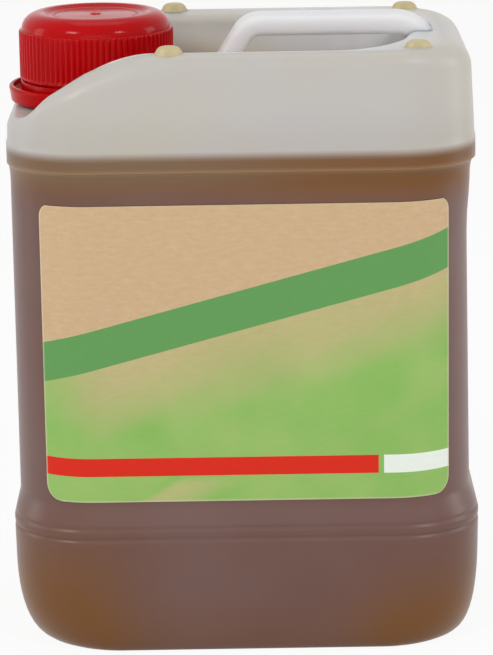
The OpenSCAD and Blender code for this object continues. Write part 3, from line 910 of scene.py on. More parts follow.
@dataclass
class BlownCan:
    """The blown body: one closed skin outside and inside, with its handle, pips and neck thread.

    Half an outline is carried along stations round the body and mirrored in Y. Rings of that
    outline run from the middle of the base, up the outside, over the crest of the stacking ridges,
    down into the channel, across the deck, up the neck and down its bore, and back along the
    inside. Each ring is a formula of the station and of its place in its run.
    """

    neck: NeckSizes
    half_w: float = 79.8
    half_d: float = 54.4
    corner_r: float = 27.0
    wall: float = 1.3
    panel_step_neck: float = 2.2
    panel_step_far: float = 3.0
    panel_step_y: float = 1.7
    shoulder_step_x: float = 1.2
    panel_low: float = 53.0
    panel_high: float = 159.2
    shoulder_edge: float = 166.6
    shoulder_z: float = 167.2
    cove_power: float = 2.4
    foot_wide_z: float = 42.0
    foot_draft: float = 0.6
    foot_top: float = 44.4
    bead_z: float = 43.6
    bead_run: float = 1.3
    bead_share: float = 0.14
    groove_z: float = 41.0
    groove_depth: float = 0.42
    groove_half: float = 0.65
    fine_groove_z: float = 44.7
    fine_groove_depth: float = 0.14
    fine_groove_half: float = 0.6
    base_roll_neck: float = 12.0
    base_roll_far: float = 8.5
    base_roll_y: float = 5.5
    base_roll_z: float = 29.5
    base_power: float = 2.3
    stand_ring: float = 8.0
    base_recess: float = 2.0
    recess_run: float = 3.0
    lean_z: float = 174.0
    deck_z: float = 180.0
    ridge_h: float = 25.5
    ridge_t: float = 10.0
    ridge_low: float = 182.0
    ridge_full_x: float = -24.0
    ridge_drop: float = 0.0165
    ridge_power: float = 1.8
    ridge_foot_x: float = -81.0
    ridge_foot_run: float = 15.5
    ridge_draft: float = 4.0
    ridge_least: float = 2.0
    fillet: float = 4.6
    fillet_share: float = 0.45
    crest_flat: float = 0.4
    neck_end_fillet: float = 3.0
    bow_roll: float = 7.0
    bow_roll_end: float = 0.35
    end_roll: float = 9.0
    end_lean: float = 1.8
    level_x: tuple[float, float] = (-69.0, -77.0)
    level_drop: float = 0.5
    level_fillet: float = 0.25
    channel_end_x: float = 56.6
    channel_turn_x: float = 29.6
    neck_moat: float = 4.6
    foot_fillet: float = 4.0
    handle_top: float = 211.0
    handle_t: float = 6.8
    handle_w: float = 16.0
    handle_edge: float = 2.0
    handle_bend: float = 4.2
    handle_near_x: float = 3.2
    handle_in: float = 0.5
    handle_root_x: float = 13.0
    handle_root_z: float = 10.0
    leg_lean: float = 0.65
    leg_foot_z: float = 13.4
    leg_root_x: float = 3.0
    flare: float = 3.0
    spread: float = 4.0
    spread_x: tuple[float, float] = (54.0, 68.0)
    pip_l: float = 8.6
    pip_w: float = 4.6
    pip_near_x: float = -23.0
    pip_far_x: float = 58.6
    pip_far_y: float = 44.0
    far_sag: float = 1.0
    sag_x: tuple[float, float] = (66.0, 76.0)
    sag_top: tuple[float, float] = (160.0, 142.0)
    sag_low: float = 50.0
    sag_full: float = 139.0
    least_roll: float = 0.6
    least_fillet: float = 0.15
    bore_gap: float = 0.4
    hair: float = 0.1
    deck_power: float = 0.8
    base_steps: int = 14
    top_steps: int = 12
    deck_steps: int = 10
    inner_top_steps: int = 5
    inner_deck_steps: int = 4
    inner_gaps: float = 3.0
    handle_rings: int = 110
    handle_bend_steps: int = 9
    handle_edge_steps: int = 6
    pip_around: int = 48

    def __post_init__(self) -> None:
        """Lay out the stations, 0 to 1 along each stretch and the last with its end, and the panel."""
        parts = [np.full(n, part) for part, n in STATIONS.items()]
        self.stretch = np.concatenate([*parts, [Stretch.FAR_END]])
        self.share = np.concatenate([np.arange(n) / n for n in STATIONS.values()] + [[1.0]])
        self.roll_in = 0.5 * (self.base_roll_neck + self.base_roll_far)
        self.roll_shift = 0.5 * (self.base_roll_neck - self.base_roll_far)
        self.panel_in = 0.5 * (self.panel_step_neck + self.panel_step_far)
        self.panel_shift = 0.5 * (self.panel_step_neck - self.panel_step_far)
        self.panel_x = self.half_w - self.panel_in
        self.panel_y = self.half_d - self.panel_step_y
        self.top_x = self.half_w - self.shoulder_step_x

    def by_stretch(self, *values: Number) -> np.ndarray:
        """Pick, at each station, the value of its stretch.

        Args:
            *values: One number, or an array that runs along the stations, for each stretch.

        Returns:
            The picked values, shape (rows, stations).
        """
        shape = np.broadcast_shapes(self.share[None].shape, *(np.shape(v) for v in values))
        wide = [np.broadcast_to(v, shape) for v in values]
        return np.select([np.broadcast_to(self.stretch[None] == part, shape) for part in Stretch], wide)

    def body_outline(self, a: Number, b: Number, r: Number) -> Outline:
        """Lay out half of a rounded rectangle: straight runs, and corners by cosine and sine.

        Args:
            a: Half its length in X.
            b: Half its length in Y.
            r: Radius of its corners.

        Returns:
            X and Y at each station.
        """
        t = self.share[None]
        q = 0.5 * np.pi * t
        x = self.by_stretch(-a, -(a - r) - r * np.cos(q), lerp(-(a - r), a - r, t),
                            a - r + r * np.sin(q), a)
        y = self.by_stretch(-t * (b - r), -(b - r) - r * np.sin(q), -b,
                            -(b - r) - r * np.cos(q), -(1 - t) * (b - r))
        return x, y

    def channel_outline(self, wider: Number) -> Outline:
        """Lay out half of the channel's outline.

        The sides are straight, the open end is rounded, and the closed end is half an ellipse. Next
        to the neck the outline keeps off it: the distance d to the neck's axis becomes the smooth
        maximum of d and the moat's radius R, (d + R + sqrt((d - R)^2 + 1)) / 2.

        Args:
            wider: How far the outline stands outside the channel's own.

        Returns:
            X and Y at each station.
        """
        a = self.top_x - self.end_lean - self.ridge_t + wider
        b = self.half_d - self.ridge_t + wider
        r = self.corner_r - self.ridge_t + wider
        t = self.share[None]
        q = 0.5 * np.pi * t
        corner_n = STATIONS[Stretch.FAR_CORNER]
        end_n = STATIONS[Stretch.FAR_END]
        turn = 0.5 * np.pi / (corner_n + end_n)
        first = turn * t * corner_n
        second = turn * (corner_n + t * end_n)
        run = self.channel_end_x - self.channel_turn_x + wider
        x = self.by_stretch(-a, -(a - r) - r * np.cos(q), lerp(-(a - r), self.channel_turn_x, t),
                            self.channel_turn_x + run * np.sin(first),
                            self.channel_turn_x + run * np.sin(second))
        y = self.by_stretch(-t * (b - r), -(b - r) - r * np.sin(q), -b,
                            -b * np.cos(first), -b * np.cos(second))
        away = np.hypot(x - self.neck.x, y)
        keep = self.neck.radius + self.neck_moat + wider
        pushed = 0.5 * (away + keep + np.sqrt((away - keep) ** 2 + 1.0))
        return self.neck.x + (x - self.neck.x) * pushed / away, y * pushed / away

    def rings(self, x: np.ndarray, y: np.ndarray, z: Number) -> np.ndarray:
        """Mirror half outlines in Y and stack them as rings of points.

        Args:
            x: X of each half outline, shape (rows, stations).
            y: Y of each half outline.
            z: Height of each ring, or of each of its stations.

        Returns:
            Points of shape (rows, around, 3).
        """
        half = np.stack(np.broadcast_arrays(x, y, z), axis=-1)
        back = half[:, -2:0:-1] * np.array([1.0, -1.0, 1.0])
        return np.concatenate([half, back], axis=1)

    def crest(self) -> np.ndarray:
        """Work out the ridge's height at each station.

        At a distance d towards the neck from where it is full, it is k d^p lower: a long soft bow
        beside the cap. A soft step then takes it down to its low end at the neck's corner.

        Returns:
            The heights, shape (1, stations).
        """
        x, _ = self.body_outline(self.top_x, self.half_d, self.corner_r)
        bow = self.ridge_drop * np.clip(self.ridge_full_x - x, 0, None) ** self.ridge_power
        run = (x - self.ridge_foot_x) / self.ridge_foot_run
        return lerp(self.ridge_low, self.deck_z + self.ridge_h - bow, smooth(run))

    def crest_roll(self) -> np.ndarray:
        """Work out the roll's radius: large beside the cap and at the closed end.

        Returns:
            The radii, shape (1, stations).
        """
        t = self.share[None]
        return self.by_stretch(self.neck_end_fillet, lerp(self.neck_end_fillet, self.bow_roll, smooth(t)),
                               lerp(self.bow_roll, self.fillet, smooth(t / self.bow_roll_end)),
                               lerp(self.fillet, self.end_roll, smooth(t)), self.end_roll)

    def base_share(self, z: np.ndarray) -> np.ndarray:
        """Return the share of the base's roll at a height: 1 - (1 - (1 - u)^p)^(1 / p), u = z / roll."""
        u = np.clip(z / self.base_roll_z, 0, 1)
        return 1 - (1 - (1 - u) ** self.base_power) ** (1 / self.base_power)

    def set_in(self, z: np.ndarray) -> tuple[np.ndarray, np.ndarray, np.ndarray]:
        """Work out how far the side stands in from its widest.

        The base rolls up and then leans out a little to the foot's widest height. A bead between
        two grooves of depth d exp(-(z / h)^2) ends the foot. The side then slopes in to the flat
        panel, and a cove under the shoulder's edge, 1 - sqrt(1 - u^p), brings it out again.

        Args:
            z: Heights.

        Returns:
            The distance at the two ends, the distance at the front, and a shift in X that lets the
            two ends of the base and of the panel stand in by different amounts.
        """
        roll = self.base_share(z)
        draft = self.foot_draft * np.clip(1 - z / self.foot_wide_z, 0, 1)
        slope = np.clip((z - self.foot_top) / (self.panel_low - self.foot_top), 0, 1)
        foot = (1 - self.bead_share) * (0.5 * slope + 0.5 * smooth(slope))
        foot = foot + self.bead_share * smooth((z - self.bead_z) / self.bead_run)
        grooves = self.groove_depth * np.exp(-((z - self.groove_z) / self.groove_half) ** 2)
        fine = self.fine_groove_depth * np.exp(-((z - self.fine_groove_z) / self.fine_groove_half) ** 2)
        grooves = grooves + fine
        cove = np.clip((z - self.panel_high) / (self.shoulder_edge - self.panel_high), 0, 1)
        back = 1 - np.sqrt(np.clip(1 - cove ** self.cove_power, 0, 1))
        panel = foot * (1 - back)
        x = lerp(draft, self.roll_in, roll) + grooves + self.panel_in * panel + self.shoulder_step_x * back
        y = lerp(draft, self.base_roll_y, roll) + grooves + self.panel_step_y * panel
        return x, y, self.roll_shift * roll + self.panel_shift * panel

    def side_heights(self, fine: float) -> np.ndarray:
        """Lay out the rings' heights from the base's roll to under the crest.

        Args:
            fine: Times the gaps between rings, 1 for the outside.

        Returns:
            The heights, from the lowest up.
        """
        q = np.linspace(0, 0.5 * np.pi, int(self.base_steps / fine))
        roll = self.base_roll_z * (1 - np.cos(q))
        return np.concatenate([roll] + [np.arange(low, high, gap * fine) for low, high, gap in SIDE_SPANS])

    def base_rings(self, w: float) -> np.ndarray:
        """Make the rings of the recessed base, from near its middle to the ring that it stands on.

        Args:
            w: How far inside the outer skin they lie.

        Returns:
            Points of shape (rows, around, 3).
        """
        inset = self.stand_ring + self.recess_run * (1 - BASE_DOWN) - w
        a = (self.half_w - self.roll_in - inset) * BASE_OUT
        b = (self.half_d - self.base_roll_y - inset) * BASE_OUT
        r = (self.corner_r - inset) * BASE_OUT
        x, y = self.body_outline(a, b, r)
        return self.rings(x + self.roll_shift, y, self.base_recess * (1 - smooth(BASE_DOWN)) + w)

    def side_rings(self, w: float, fine: float) -> np.ndarray:
        """Make the rings of the side, up to where the wall starts to lean with the crest.

        The closed end sags in a little where the blown wall cooled last, most near its top.

        Args:
            w: How far inside the outer skin they lie.
            fine: Times the gaps between rings, 1 for the outside.

        Returns:
            Points of shape (rows, around, 3).
        """
        z = self.side_heights(fine)[:, None]
        in_x, in_y, shift = self.set_in(z)
        x, y = self.body_outline(self.half_w - in_x - w, self.half_d - in_y - w, self.corner_r - w)
        rise = np.clip((z - self.sag_low) / (self.sag_full - self.sag_low), 0, 1)
        sag = self.far_sag * ease(z, self.sag_top) * rise
        sunk = x + shift - sag * ease(x + w, self.sag_x)
        return self.rings(sunk, y, z + w * np.clip(1 - z / self.base_roll_z, 0, 1))

    def leaning_wall(self, z: np.ndarray, into: Number) -> Outline:
        """Lay out the outer wall over the shoulder, whose ends lean in evenly with height.

        Args:
            z: Heights at each station.
            into: How far inside the outer skin the outline lies.

        Returns:
            X and Y at each station.
        """
        k = np.clip((z - self.shoulder_z) / (self.deck_z + self.ridge_h - self.shoulder_z), 0, 1)
        return self.body_outline(self.top_x - self.end_lean * k - into, self.half_d - into,
                                 self.corner_r - into)

    def top_rings(self, w: float, steps: int) -> np.ndarray:
        """Make the rings of the top: wall, roll onto the crest, roll into the channel, side and foot.

        Each roll is a quarter circle in cosine and sine. At the neck's end the channel's side has
        no height, and the deck lies just under the crest.

        Args:
            w: How far inside the outer skin they lie.
            steps: Rings in each of the five runs.

        Returns:
            Points of shape (rows, around, 3), from the shoulder to the deck's edge.
        """
        top = self.crest()
        rise = np.maximum(top - self.deck_z, self.ridge_least)
        high = top - w
        roll = np.maximum(self.crest_roll() - w, self.least_roll)
        beside = self.stretch[None] <= Stretch.FRONT
        room = np.where(beside, self.ridge_t - self.crest_flat - self.crest_roll(), self.fillet)
        inner = np.minimum(np.minimum(self.fillet, room), self.fillet_share * rise)
        inner = np.maximum(inner - w, self.least_fillet)
        foot = np.minimum(self.foot_fillet, self.fillet_share * rise)
        lean = self.ridge_draft * np.clip((rise - self.ridge_least) / self.ridge_h, 0, 1)
        outer_x, _ = self.body_outline(self.top_x, self.half_d, self.corner_r)
        level_end = (w == 0) * ease(outer_x, self.level_x)
        low = self.deck_z - w + level_end * (top - self.level_drop - self.deck_z)
        inner = lerp(inner, self.level_fillet, level_end)
        foot = lerp(foot, self.level_fillet, level_end)

        t = np.linspace(0, 1, steps)[:, None]
        z_wall = lerp(self.lean_z, high - roll, t)
        wall = self.rings(*self.leaning_wall(z_wall, w), z_wall)
        q = 0.5 * np.pi * np.linspace(1 / steps, 1, steps)[:, None]
        into = roll * (1 - np.cos(q))
        x, y = self.leaning_wall(np.broadcast_to(high - roll, into.shape), w + into)
        over = self.rings(x, y, high - roll * (1 - np.sin(q)))
        q = 0.5 * np.pi * np.linspace(0, 1, steps)[:, None]
        x, y = self.channel_outline(w + inner * (1 - np.sin(q)))
        into_channel = self.rings(x, y, high - inner * (1 - np.cos(q)))
        x, y = self.channel_outline(w - lean * t[1:-1])
        down = self.rings(x, y, lerp(high - inner, low + foot, t[1:-1]))
        x, y = self.channel_outline(w - lean - foot * (1 - np.cos(q)))
        onto_deck = self.rings(x, y, low + foot * (1 - np.sin(q)))
        return np.concatenate([wall, over, into_channel, down, onto_deck])

    def deck_rings(self, edge: np.ndarray, radius: float, steps: int) -> np.ndarray:
        """Make the rings of the flat deck, which shrink along rays from its edge to a circle.

        Ring i of n lies a share (i / n)^p of the way in.

        Args:
            edge: The deck's outer edge, shape (around, 3).
            radius: Radius of the last ring, about the neck's axis.
            steps: Number of rings.

        Returns:
            Points of shape (steps, around, 3).
        """
        axis = np.array([self.neck.x, 0.0])
        ray = edge[None, :, :2] - axis
        far = np.linalg.norm(ray, axis=-1, keepdims=True)
        t = (np.linspace(0, 1, steps + 1)[1:] ** self.deck_power)[:, None, None]
        flat = axis + ray / far * lerp(far, radius, t)
        return np.concatenate([flat, np.broadcast_to(edge[None, :, 2:], flat.shape[:2] + (1,))], axis=-1)

    def neck_rings(self, edge: np.ndarray, profile: np.ndarray) -> np.ndarray:
        """Make the rings of the neck: its profile carried on the rays of the deck's edge.

        A ring is on the outside where it is as wide as the neck, or short of it by a hair.

        Args:
            edge: The deck's outer edge, shape (around, 3).
            profile: Radius and height of each ring, shape (rows, 2).

        Returns:
            Points of shape (rows, around, 3), none of them below the deck on the outside.
        """
        axis = np.array([self.neck.x, 0.0])
        ray = edge[:, :2] - axis
        ray = ray / np.linalg.norm(ray, axis=-1, keepdims=True)
        flat = axis + profile[:, None, :1] * ray[None]
        outside = profile[:, :1] > self.neck.radius - self.hair
        height = np.where(outside, np.maximum(profile[:, 1:], edge[None, :, 2]), profile[:, 1:])
        return np.concatenate([flat, height[..., None]], axis=-1)

    def neck_profile(self) -> np.ndarray:
        """Draw the neck from the deck, over its bead and lip, and down its bore.

        The points 10 and 9 mm under the lip only divide the two straight runs.

        Returns:
            Radius and height of each point, shape (n, 2).
        """
        n = self.neck
        r = n.radius
        q = np.linspace(0, 0.5 * np.pi, n.root_steps)[1:]
        root = [r + n.root_fillet * (1 - np.sin(q)), self.deck_z + n.root_fillet * (1 - np.cos(q))]
        out = r + n.bead_out
        bead = [[r, self.deck_z + n.root_top], [r, n.bead_low - n.bead_slope], [out, n.bead_low],
                [out, n.bead_high - n.bead_slope], [out - n.bead_slope, n.bead_high],
                [r, n.bead_high], [r, n.lip_z - 10.0], [r, n.lip_z], [n.bore_r, n.lip_z],
                [n.bore_r, n.lip_z - 9.0], [n.bore_r, self.deck_z - self.wall]]
        return np.concatenate([np.stack(root, -1), soften(np.array(bead), n.edge_cut, n.edge_steps)])

    def skin(self) -> tuple[Surface, np.ndarray, np.ndarray]:
        """Make the closed skin.

        Returns:
            The surface, a share at each point that is 1 inside the channel and on the deck, and a
            share that is 1 on the inner side of the wall.
        """
        outside = np.concatenate([self.base_rings(0), self.side_rings(0, 1.0)])
        top = self.top_rings(0, self.top_steps)
        deck = self.deck_rings(top[-1], self.neck.radius + self.neck.root_fillet, self.deck_steps)
        neck = self.neck_rings(top[-1], self.neck_profile())
        inner_top = self.top_rings(self.wall, self.inner_top_steps)
        bore = self.neck.bore_r + self.bore_gap
        inner_deck = self.deck_rings(inner_top[-1], bore, self.inner_deck_steps)
        inside = np.concatenate([self.base_rings(self.wall), self.side_rings(self.wall, self.inner_gaps),
                                 inner_top, inner_deck])
        surface = loft(np.concatenate([outside, top, deck, neck, inside[::-1]]))
        wall_and_roll = 2 * self.top_steps
        before = len(outside) + wall_and_roll
        channel = len(top) - wall_and_roll + len(deck)
        sunk = np.concatenate([np.zeros(before), np.ones(channel), np.zeros(len(neck) + len(inside))])
        within = np.concatenate([np.zeros(before + channel + len(neck)), np.ones(len(inside))])
        around = outside.shape[1]
        return (surface, np.concatenate([np.repeat(sunk, around), [0.0, 0.0]]),
                np.concatenate([np.repeat(within, around), [0.0, 1.0]]))

    def handle(self) -> Surface:
        """Make the solid handle: a flat bar with round edges, carried along its bent centre line.

        The bar widens where it runs into the closed end and, in a quarter-round flare, where its
        leg stands on the deck.

        Returns:
            The closed bar, with both ends inside the can's wall.
        """
        z = self.handle_top - self.handle_t / 2
        foot_z = self.deck_z + self.leg_foot_z
        near_x = self.handle_near_x
        far_x = self.channel_end_x + self.handle_in
        knee_x = near_x - self.leg_lean * (z - foot_z)
        corners = np.array([[far_x + self.handle_root_x, z - self.handle_root_z], [far_x, z], [near_x, z],
                            [knee_x, foot_z], [knee_x - self.leg_root_x, self.deck_z - self.wall]])
        bent = soften(corners, self.handle_bend, self.handle_bend_steps)
        steps = np.linalg.norm(np.diff(bent, axis=0), axis=1)
        length = np.concatenate([[0], np.cumsum(steps)])
        at = np.linspace(0, length[-1], self.handle_rings)
        line = np.stack([np.interp(at, length, bent[:, 0]), np.interp(at, length, bent[:, 1])], -1)
        along = np.gradient(line, axis=0)
        along = along / np.linalg.norm(along, axis=1, keepdims=True)

        q = np.linspace(0, 0.5 * np.pi, self.handle_edge_steps)
        turn = np.concatenate([q + k * 0.5 * np.pi for k in range(4)])
        sign_w = np.repeat([1.0, -1.0, -1.0, 1.0], len(q))
        sign_t = np.repeat([1.0, 1.0, -1.0, -1.0], len(q))
        near_deck = np.clip(1 - (line[:, 1] - self.deck_z) / self.flare, 0, 1)
        flare = self.flare * (1 - np.sqrt(np.clip(1 - near_deck ** 2, 0, 1)))
        half_w = self.handle_w / 2 - self.handle_edge + flare + self.spread * ease(line[:, 0], self.spread_x)
        half_t = self.handle_t / 2 - self.handle_edge + flare
        out_w = half_w[:, None] * sign_w + self.handle_edge * np.cos(turn)
        out_t = half_t[:, None] * sign_t + self.handle_edge * np.sin(turn)
        rings = np.stack([line[:, :1] - along[:, 1:] * out_t, out_w, line[:, 1:] + along[:, :1] * out_t], -1)
        return loft(rings)

    def pips(self) -> list[Surface]:
        """Make the four oval pips that locate the next can, each with a flared foot and a low dome.

        Returns:
            The closed pips, two near the neck and two at the closed end.
        """
        out = PIP_SIDE[:, :1]
        height = self.deck_z + self.ridge_h + PIP_SIDE[:, 1:]
        q = np.linspace(0, 2 * np.pi, self.pip_around, endpoint=False)
        length = self.pip_l / 2 * out * np.cos(q)
        width = self.pip_w / 2 * out * np.sin(q)
        near = (self.pip_near_x, self.half_d - self.ridge_t / 2)
        far = (self.pip_far_x, self.pip_far_y)
        places = [(x, side * y) for x, y in (near, far) for side in (-1, 1)]
        return [loft(np.stack(np.broadcast_arrays(x + length, y + width, height), -1)) for x, y in places]

    def thread(self) -> Surface:
        """Make the neck's thread, from just above its bead."""
        n = self.neck
        return ThreadRidge(n.x, n.radius, n.thread_height, n.thread_width, n.pitch,
                           n.bead_high + n.thread_gap, n.thread_turns).surface()

    def build(self, finish: NaturalPolyethylene) -> bpy.types.Object:
        """Make the piece and number its points for the finish.

        Args:
            finish: The can's finish.

        Returns:
            The new piece.
        """
        skin, sunk, within = self.skin()
        pips = self.pips()
        parts = [skin, self.handle(), *pips, self.thread()]
        surface = join(parts)
        sizes = [len(part.points) for part in parts]
        none = [np.zeros(size) for size in sizes]
        kinds = {
            "sunk": np.concatenate([sunk, *none[1:]]),
            "within": np.concatenate([within, *none[1:]]),
            "solid": np.concatenate([none[0], np.ones(sizes[1]), *none[2:]]),
            "thick_and_glow": np.concatenate([*none[:2], np.ones(sum(sizes[2:-1])), none[-1]]),
        }
        off_neck = np.hypot(surface.points[:, 0] - self.neck.x, surface.points[:, 1]) - self.neck.radius
        numbers = WallShades().numbers(surface.points, off_neck, kinds)
        return add_piece("blown_can", surface, finish.build(), "jug", "can", numbers)


# Distances from the wall of the rings in the oil's surface, and the shares of the last ring's X, Y
# and height in the rings that lie nearer the middle.
OIL_INSET = np.array([0.0, 0.3, 0.8, 1.6, 3.0, 5.0])[:, None]
OIL_MIDDLE = np.array([[0.75, 0.75, 1.0], [0.45, 0.45, 1.0], [0.15, 0.15, 1.0]])[:, None, :]


@dataclass
class OilFill:
    """The filling: the inside's own form, just clear of the wall, with a level top.

    At the wall the surface climbs: it stands lower by c (1 - exp(-d / r)) at a distance d from it.
    """

    can: BlownCan
    air: float = 0.3
    level: float = 172.0
    climb: float = 0.8
    climb_run: float = 1.2
    edge_gap: float = 0.6

    def build(self, finish: ChainOil) -> bpy.types.Object:
        """Make the closed filling from the can's own rings, set in by the wall and a thin gap.

        Args:
            finish: The oil's finish.

        Returns:
            The new piece.
        """
        can = self.can
        inside = can.wall + self.air
        side = can.side_rings(inside, can.inner_gaps)
        side = side[side[:, 0, 2] < self.level - self.edge_gap]
        in_x, in_y, shift = can.set_in(np.full((1, 1), self.level))
        cut = inside + OIL_INSET
        x, y = can.body_outline(can.half_w - in_x - cut, can.half_d - in_y - cut, can.corner_r - cut)
        top = can.rings(x + shift, y, self.level - self.climb * (1 - np.exp(-OIL_INSET / self.climb_run)))
        surface = loft(np.concatenate([can.base_rings(inside), side, top, top[-1:] * OIL_MIDDLE]))
        return add_piece("oil_fill", surface, finish.build(), "jug", "oil")


# Distances from each edge of the label at which its grid has a row or a column.
NEAR_EDGE = np.array([0.0, 0.35, 0.7, 1.2, 2.0, 3.0, 4.2, 5.2, 6.0])


@dataclass
class WrapLabel:
    """The paper label: a sheet that lies on the flat front and wraps onto both corners.

    The sheet is a grid of its flat width and height. A point's distance along the width gives its
    place on the panel's outline: an arc, a straight run and an arc. Rows near the top and bottom
    are shortened by the round corners.
    """

    can: BlownCan
    left: float = -67.0
    right: float = 68.3
    low_z: float = 54.0
    high_z: float = 155.9
    air: float = 0.05
    thickness: float = 0.25
    corner_low: float = 6.0
    corner_high: float = 4.2
    margin: float = 8.0
    rows: int = 30
    columns: int = 110
    # Width and share of the pale line round the edge: the cut paper's paleness and a painted highlight.
    cut_edge_and_highlight_width: float = 0.7
    cut_edge_and_highlight_share: float = 0.7

    def __post_init__(self) -> None:
        """Work out the flat width from the two arcs and the straight run."""
        self.flat_half = self.can.panel_x - self.can.corner_r
        r = self.can.corner_r
        self.left_arc = r * math.asin((self.can.panel_shift - self.left - self.flat_half) / r)
        self.right_arc = r * math.asin((self.right - self.can.panel_shift - self.flat_half) / r)
        self.width = self.left_arc + 2 * self.flat_half + self.right_arc
        self.height = self.high_z - self.low_z

    def on_panel(self, along: np.ndarray) -> Outline:
        """Find places of the printed face on the can.

        Args:
            along: Distances along the flat width.

        Returns:
            X and Y of each place.
        """
        r = self.can.corner_r
        out = r + self.air + self.thickness
        s = along - self.left_arc - self.flat_half
        q = np.clip(np.abs(s) - self.flat_half, 0, None) / r
        x = np.clip(s, -self.flat_half, self.flat_half) + np.sign(s) * out * np.sin(q)
        return x + self.can.panel_shift, -(self.can.panel_y - r) - out * np.cos(q)

    def grid(self) -> tuple[np.ndarray, np.ndarray, np.ndarray]:
        """Lay out the sheet's grid, finer near its edges.

        A round corner of radius r shortens a row by r - sqrt(r^2 - d^2), where the row lies a
        distance d from the level of the corner's centre, on the side of the sheet's edge.

        Returns:
            Each point's distance along the flat width, each row's height over the lower edge, and
            how far each row is shortened at either end.
        """
        rows = np.linspace(self.margin, self.height - self.margin, self.rows)
        columns = np.linspace(self.margin, self.width - self.margin, self.columns)
        up = np.concatenate([NEAR_EDGE, rows, self.height - NEAR_EDGE[::-1]])
        across = np.concatenate([NEAR_EDGE, columns, self.width - NEAR_EDGE[::-1]]) / self.width
        low = np.clip(self.corner_low - up, 0, None)
        high = np.clip(up - (self.height - self.corner_high), 0, None)
        inset = self.corner_low - np.sqrt(self.corner_low ** 2 - low ** 2)
        inset = inset + self.corner_high - np.sqrt(self.corner_high ** 2 - high ** 2)
        along = inset[:, None] + across[None, :] * (self.width - 2 * inset[:, None])
        return along, up, inset

    def build(self) -> bpy.types.Object:
        """Make the sheet with its thickness, its flat map and the numbers that its print reads.

        Returns:
            The new piece.
        """
        along, up, inset = self.grid()
        up = up[:, None]
        inset = inset[:, None]
        x, y = self.on_panel(along)
        z = np.broadcast_to(self.low_z + up, x.shape)
        rows, columns = x.shape
        here = (np.arange(rows - 1)[:, None] * columns + np.arange(columns - 1)).reshape(-1)
        quads = np.stack([here, here + 1, here + columns + 1, here + columns], -1)
        mesh = bpy.data.meshes.new("wrap_label")
        points = np.stack([x, y, z], -1).reshape(-1, 3) * MM
        mesh.from_pydata(points.tolist(), [], quads.tolist())
        mesh.polygons.foreach_set("use_smooth", np.ones(len(quads), bool))

        paper = PrintedKraftPaper(self.width, self.height)
        sides = np.minimum(along - inset, self.width - inset - along)
        border = np.minimum(sides, np.minimum(up, self.height - up))
        shares = paper.tints(along, np.broadcast_to(up, along.shape))
        # The pale line round the edge: the cut paper's paleness and a painted highlight.
        shares["edge"] = self.cut_edge_and_highlight_share * smooth(1 - border / self.cut_edge_and_highlight_width)
        add_numbers(mesh, shares)
        flat = np.stack(np.broadcast_arrays(along / self.width, up / self.height), -1).reshape(-1, 2)
        corners = np.zeros(len(mesh.loops), int)
        mesh.loops.foreach_get("vertex_index", corners)
        flat_map = mesh.uv_layers.new(name="flat_label")
        flat_map.data.foreach_set("uv", flat[corners].astype(np.float32).ravel())
        mesh.materials.append(paper.build())

        piece = bpy.data.objects.new("wrap_label", mesh)
        bpy.context.scene.collection.objects.link(piece)
        sheet = piece.modifiers.new("paper", "SOLIDIFY")
        sheet.thickness = self.thickness * MM
        sheet.offset = -1.0
        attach(piece, "jug")
        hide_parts("label")
        log.info("wrap_label: %.1f by %.1f mm flat", self.width, self.height)
        return piece


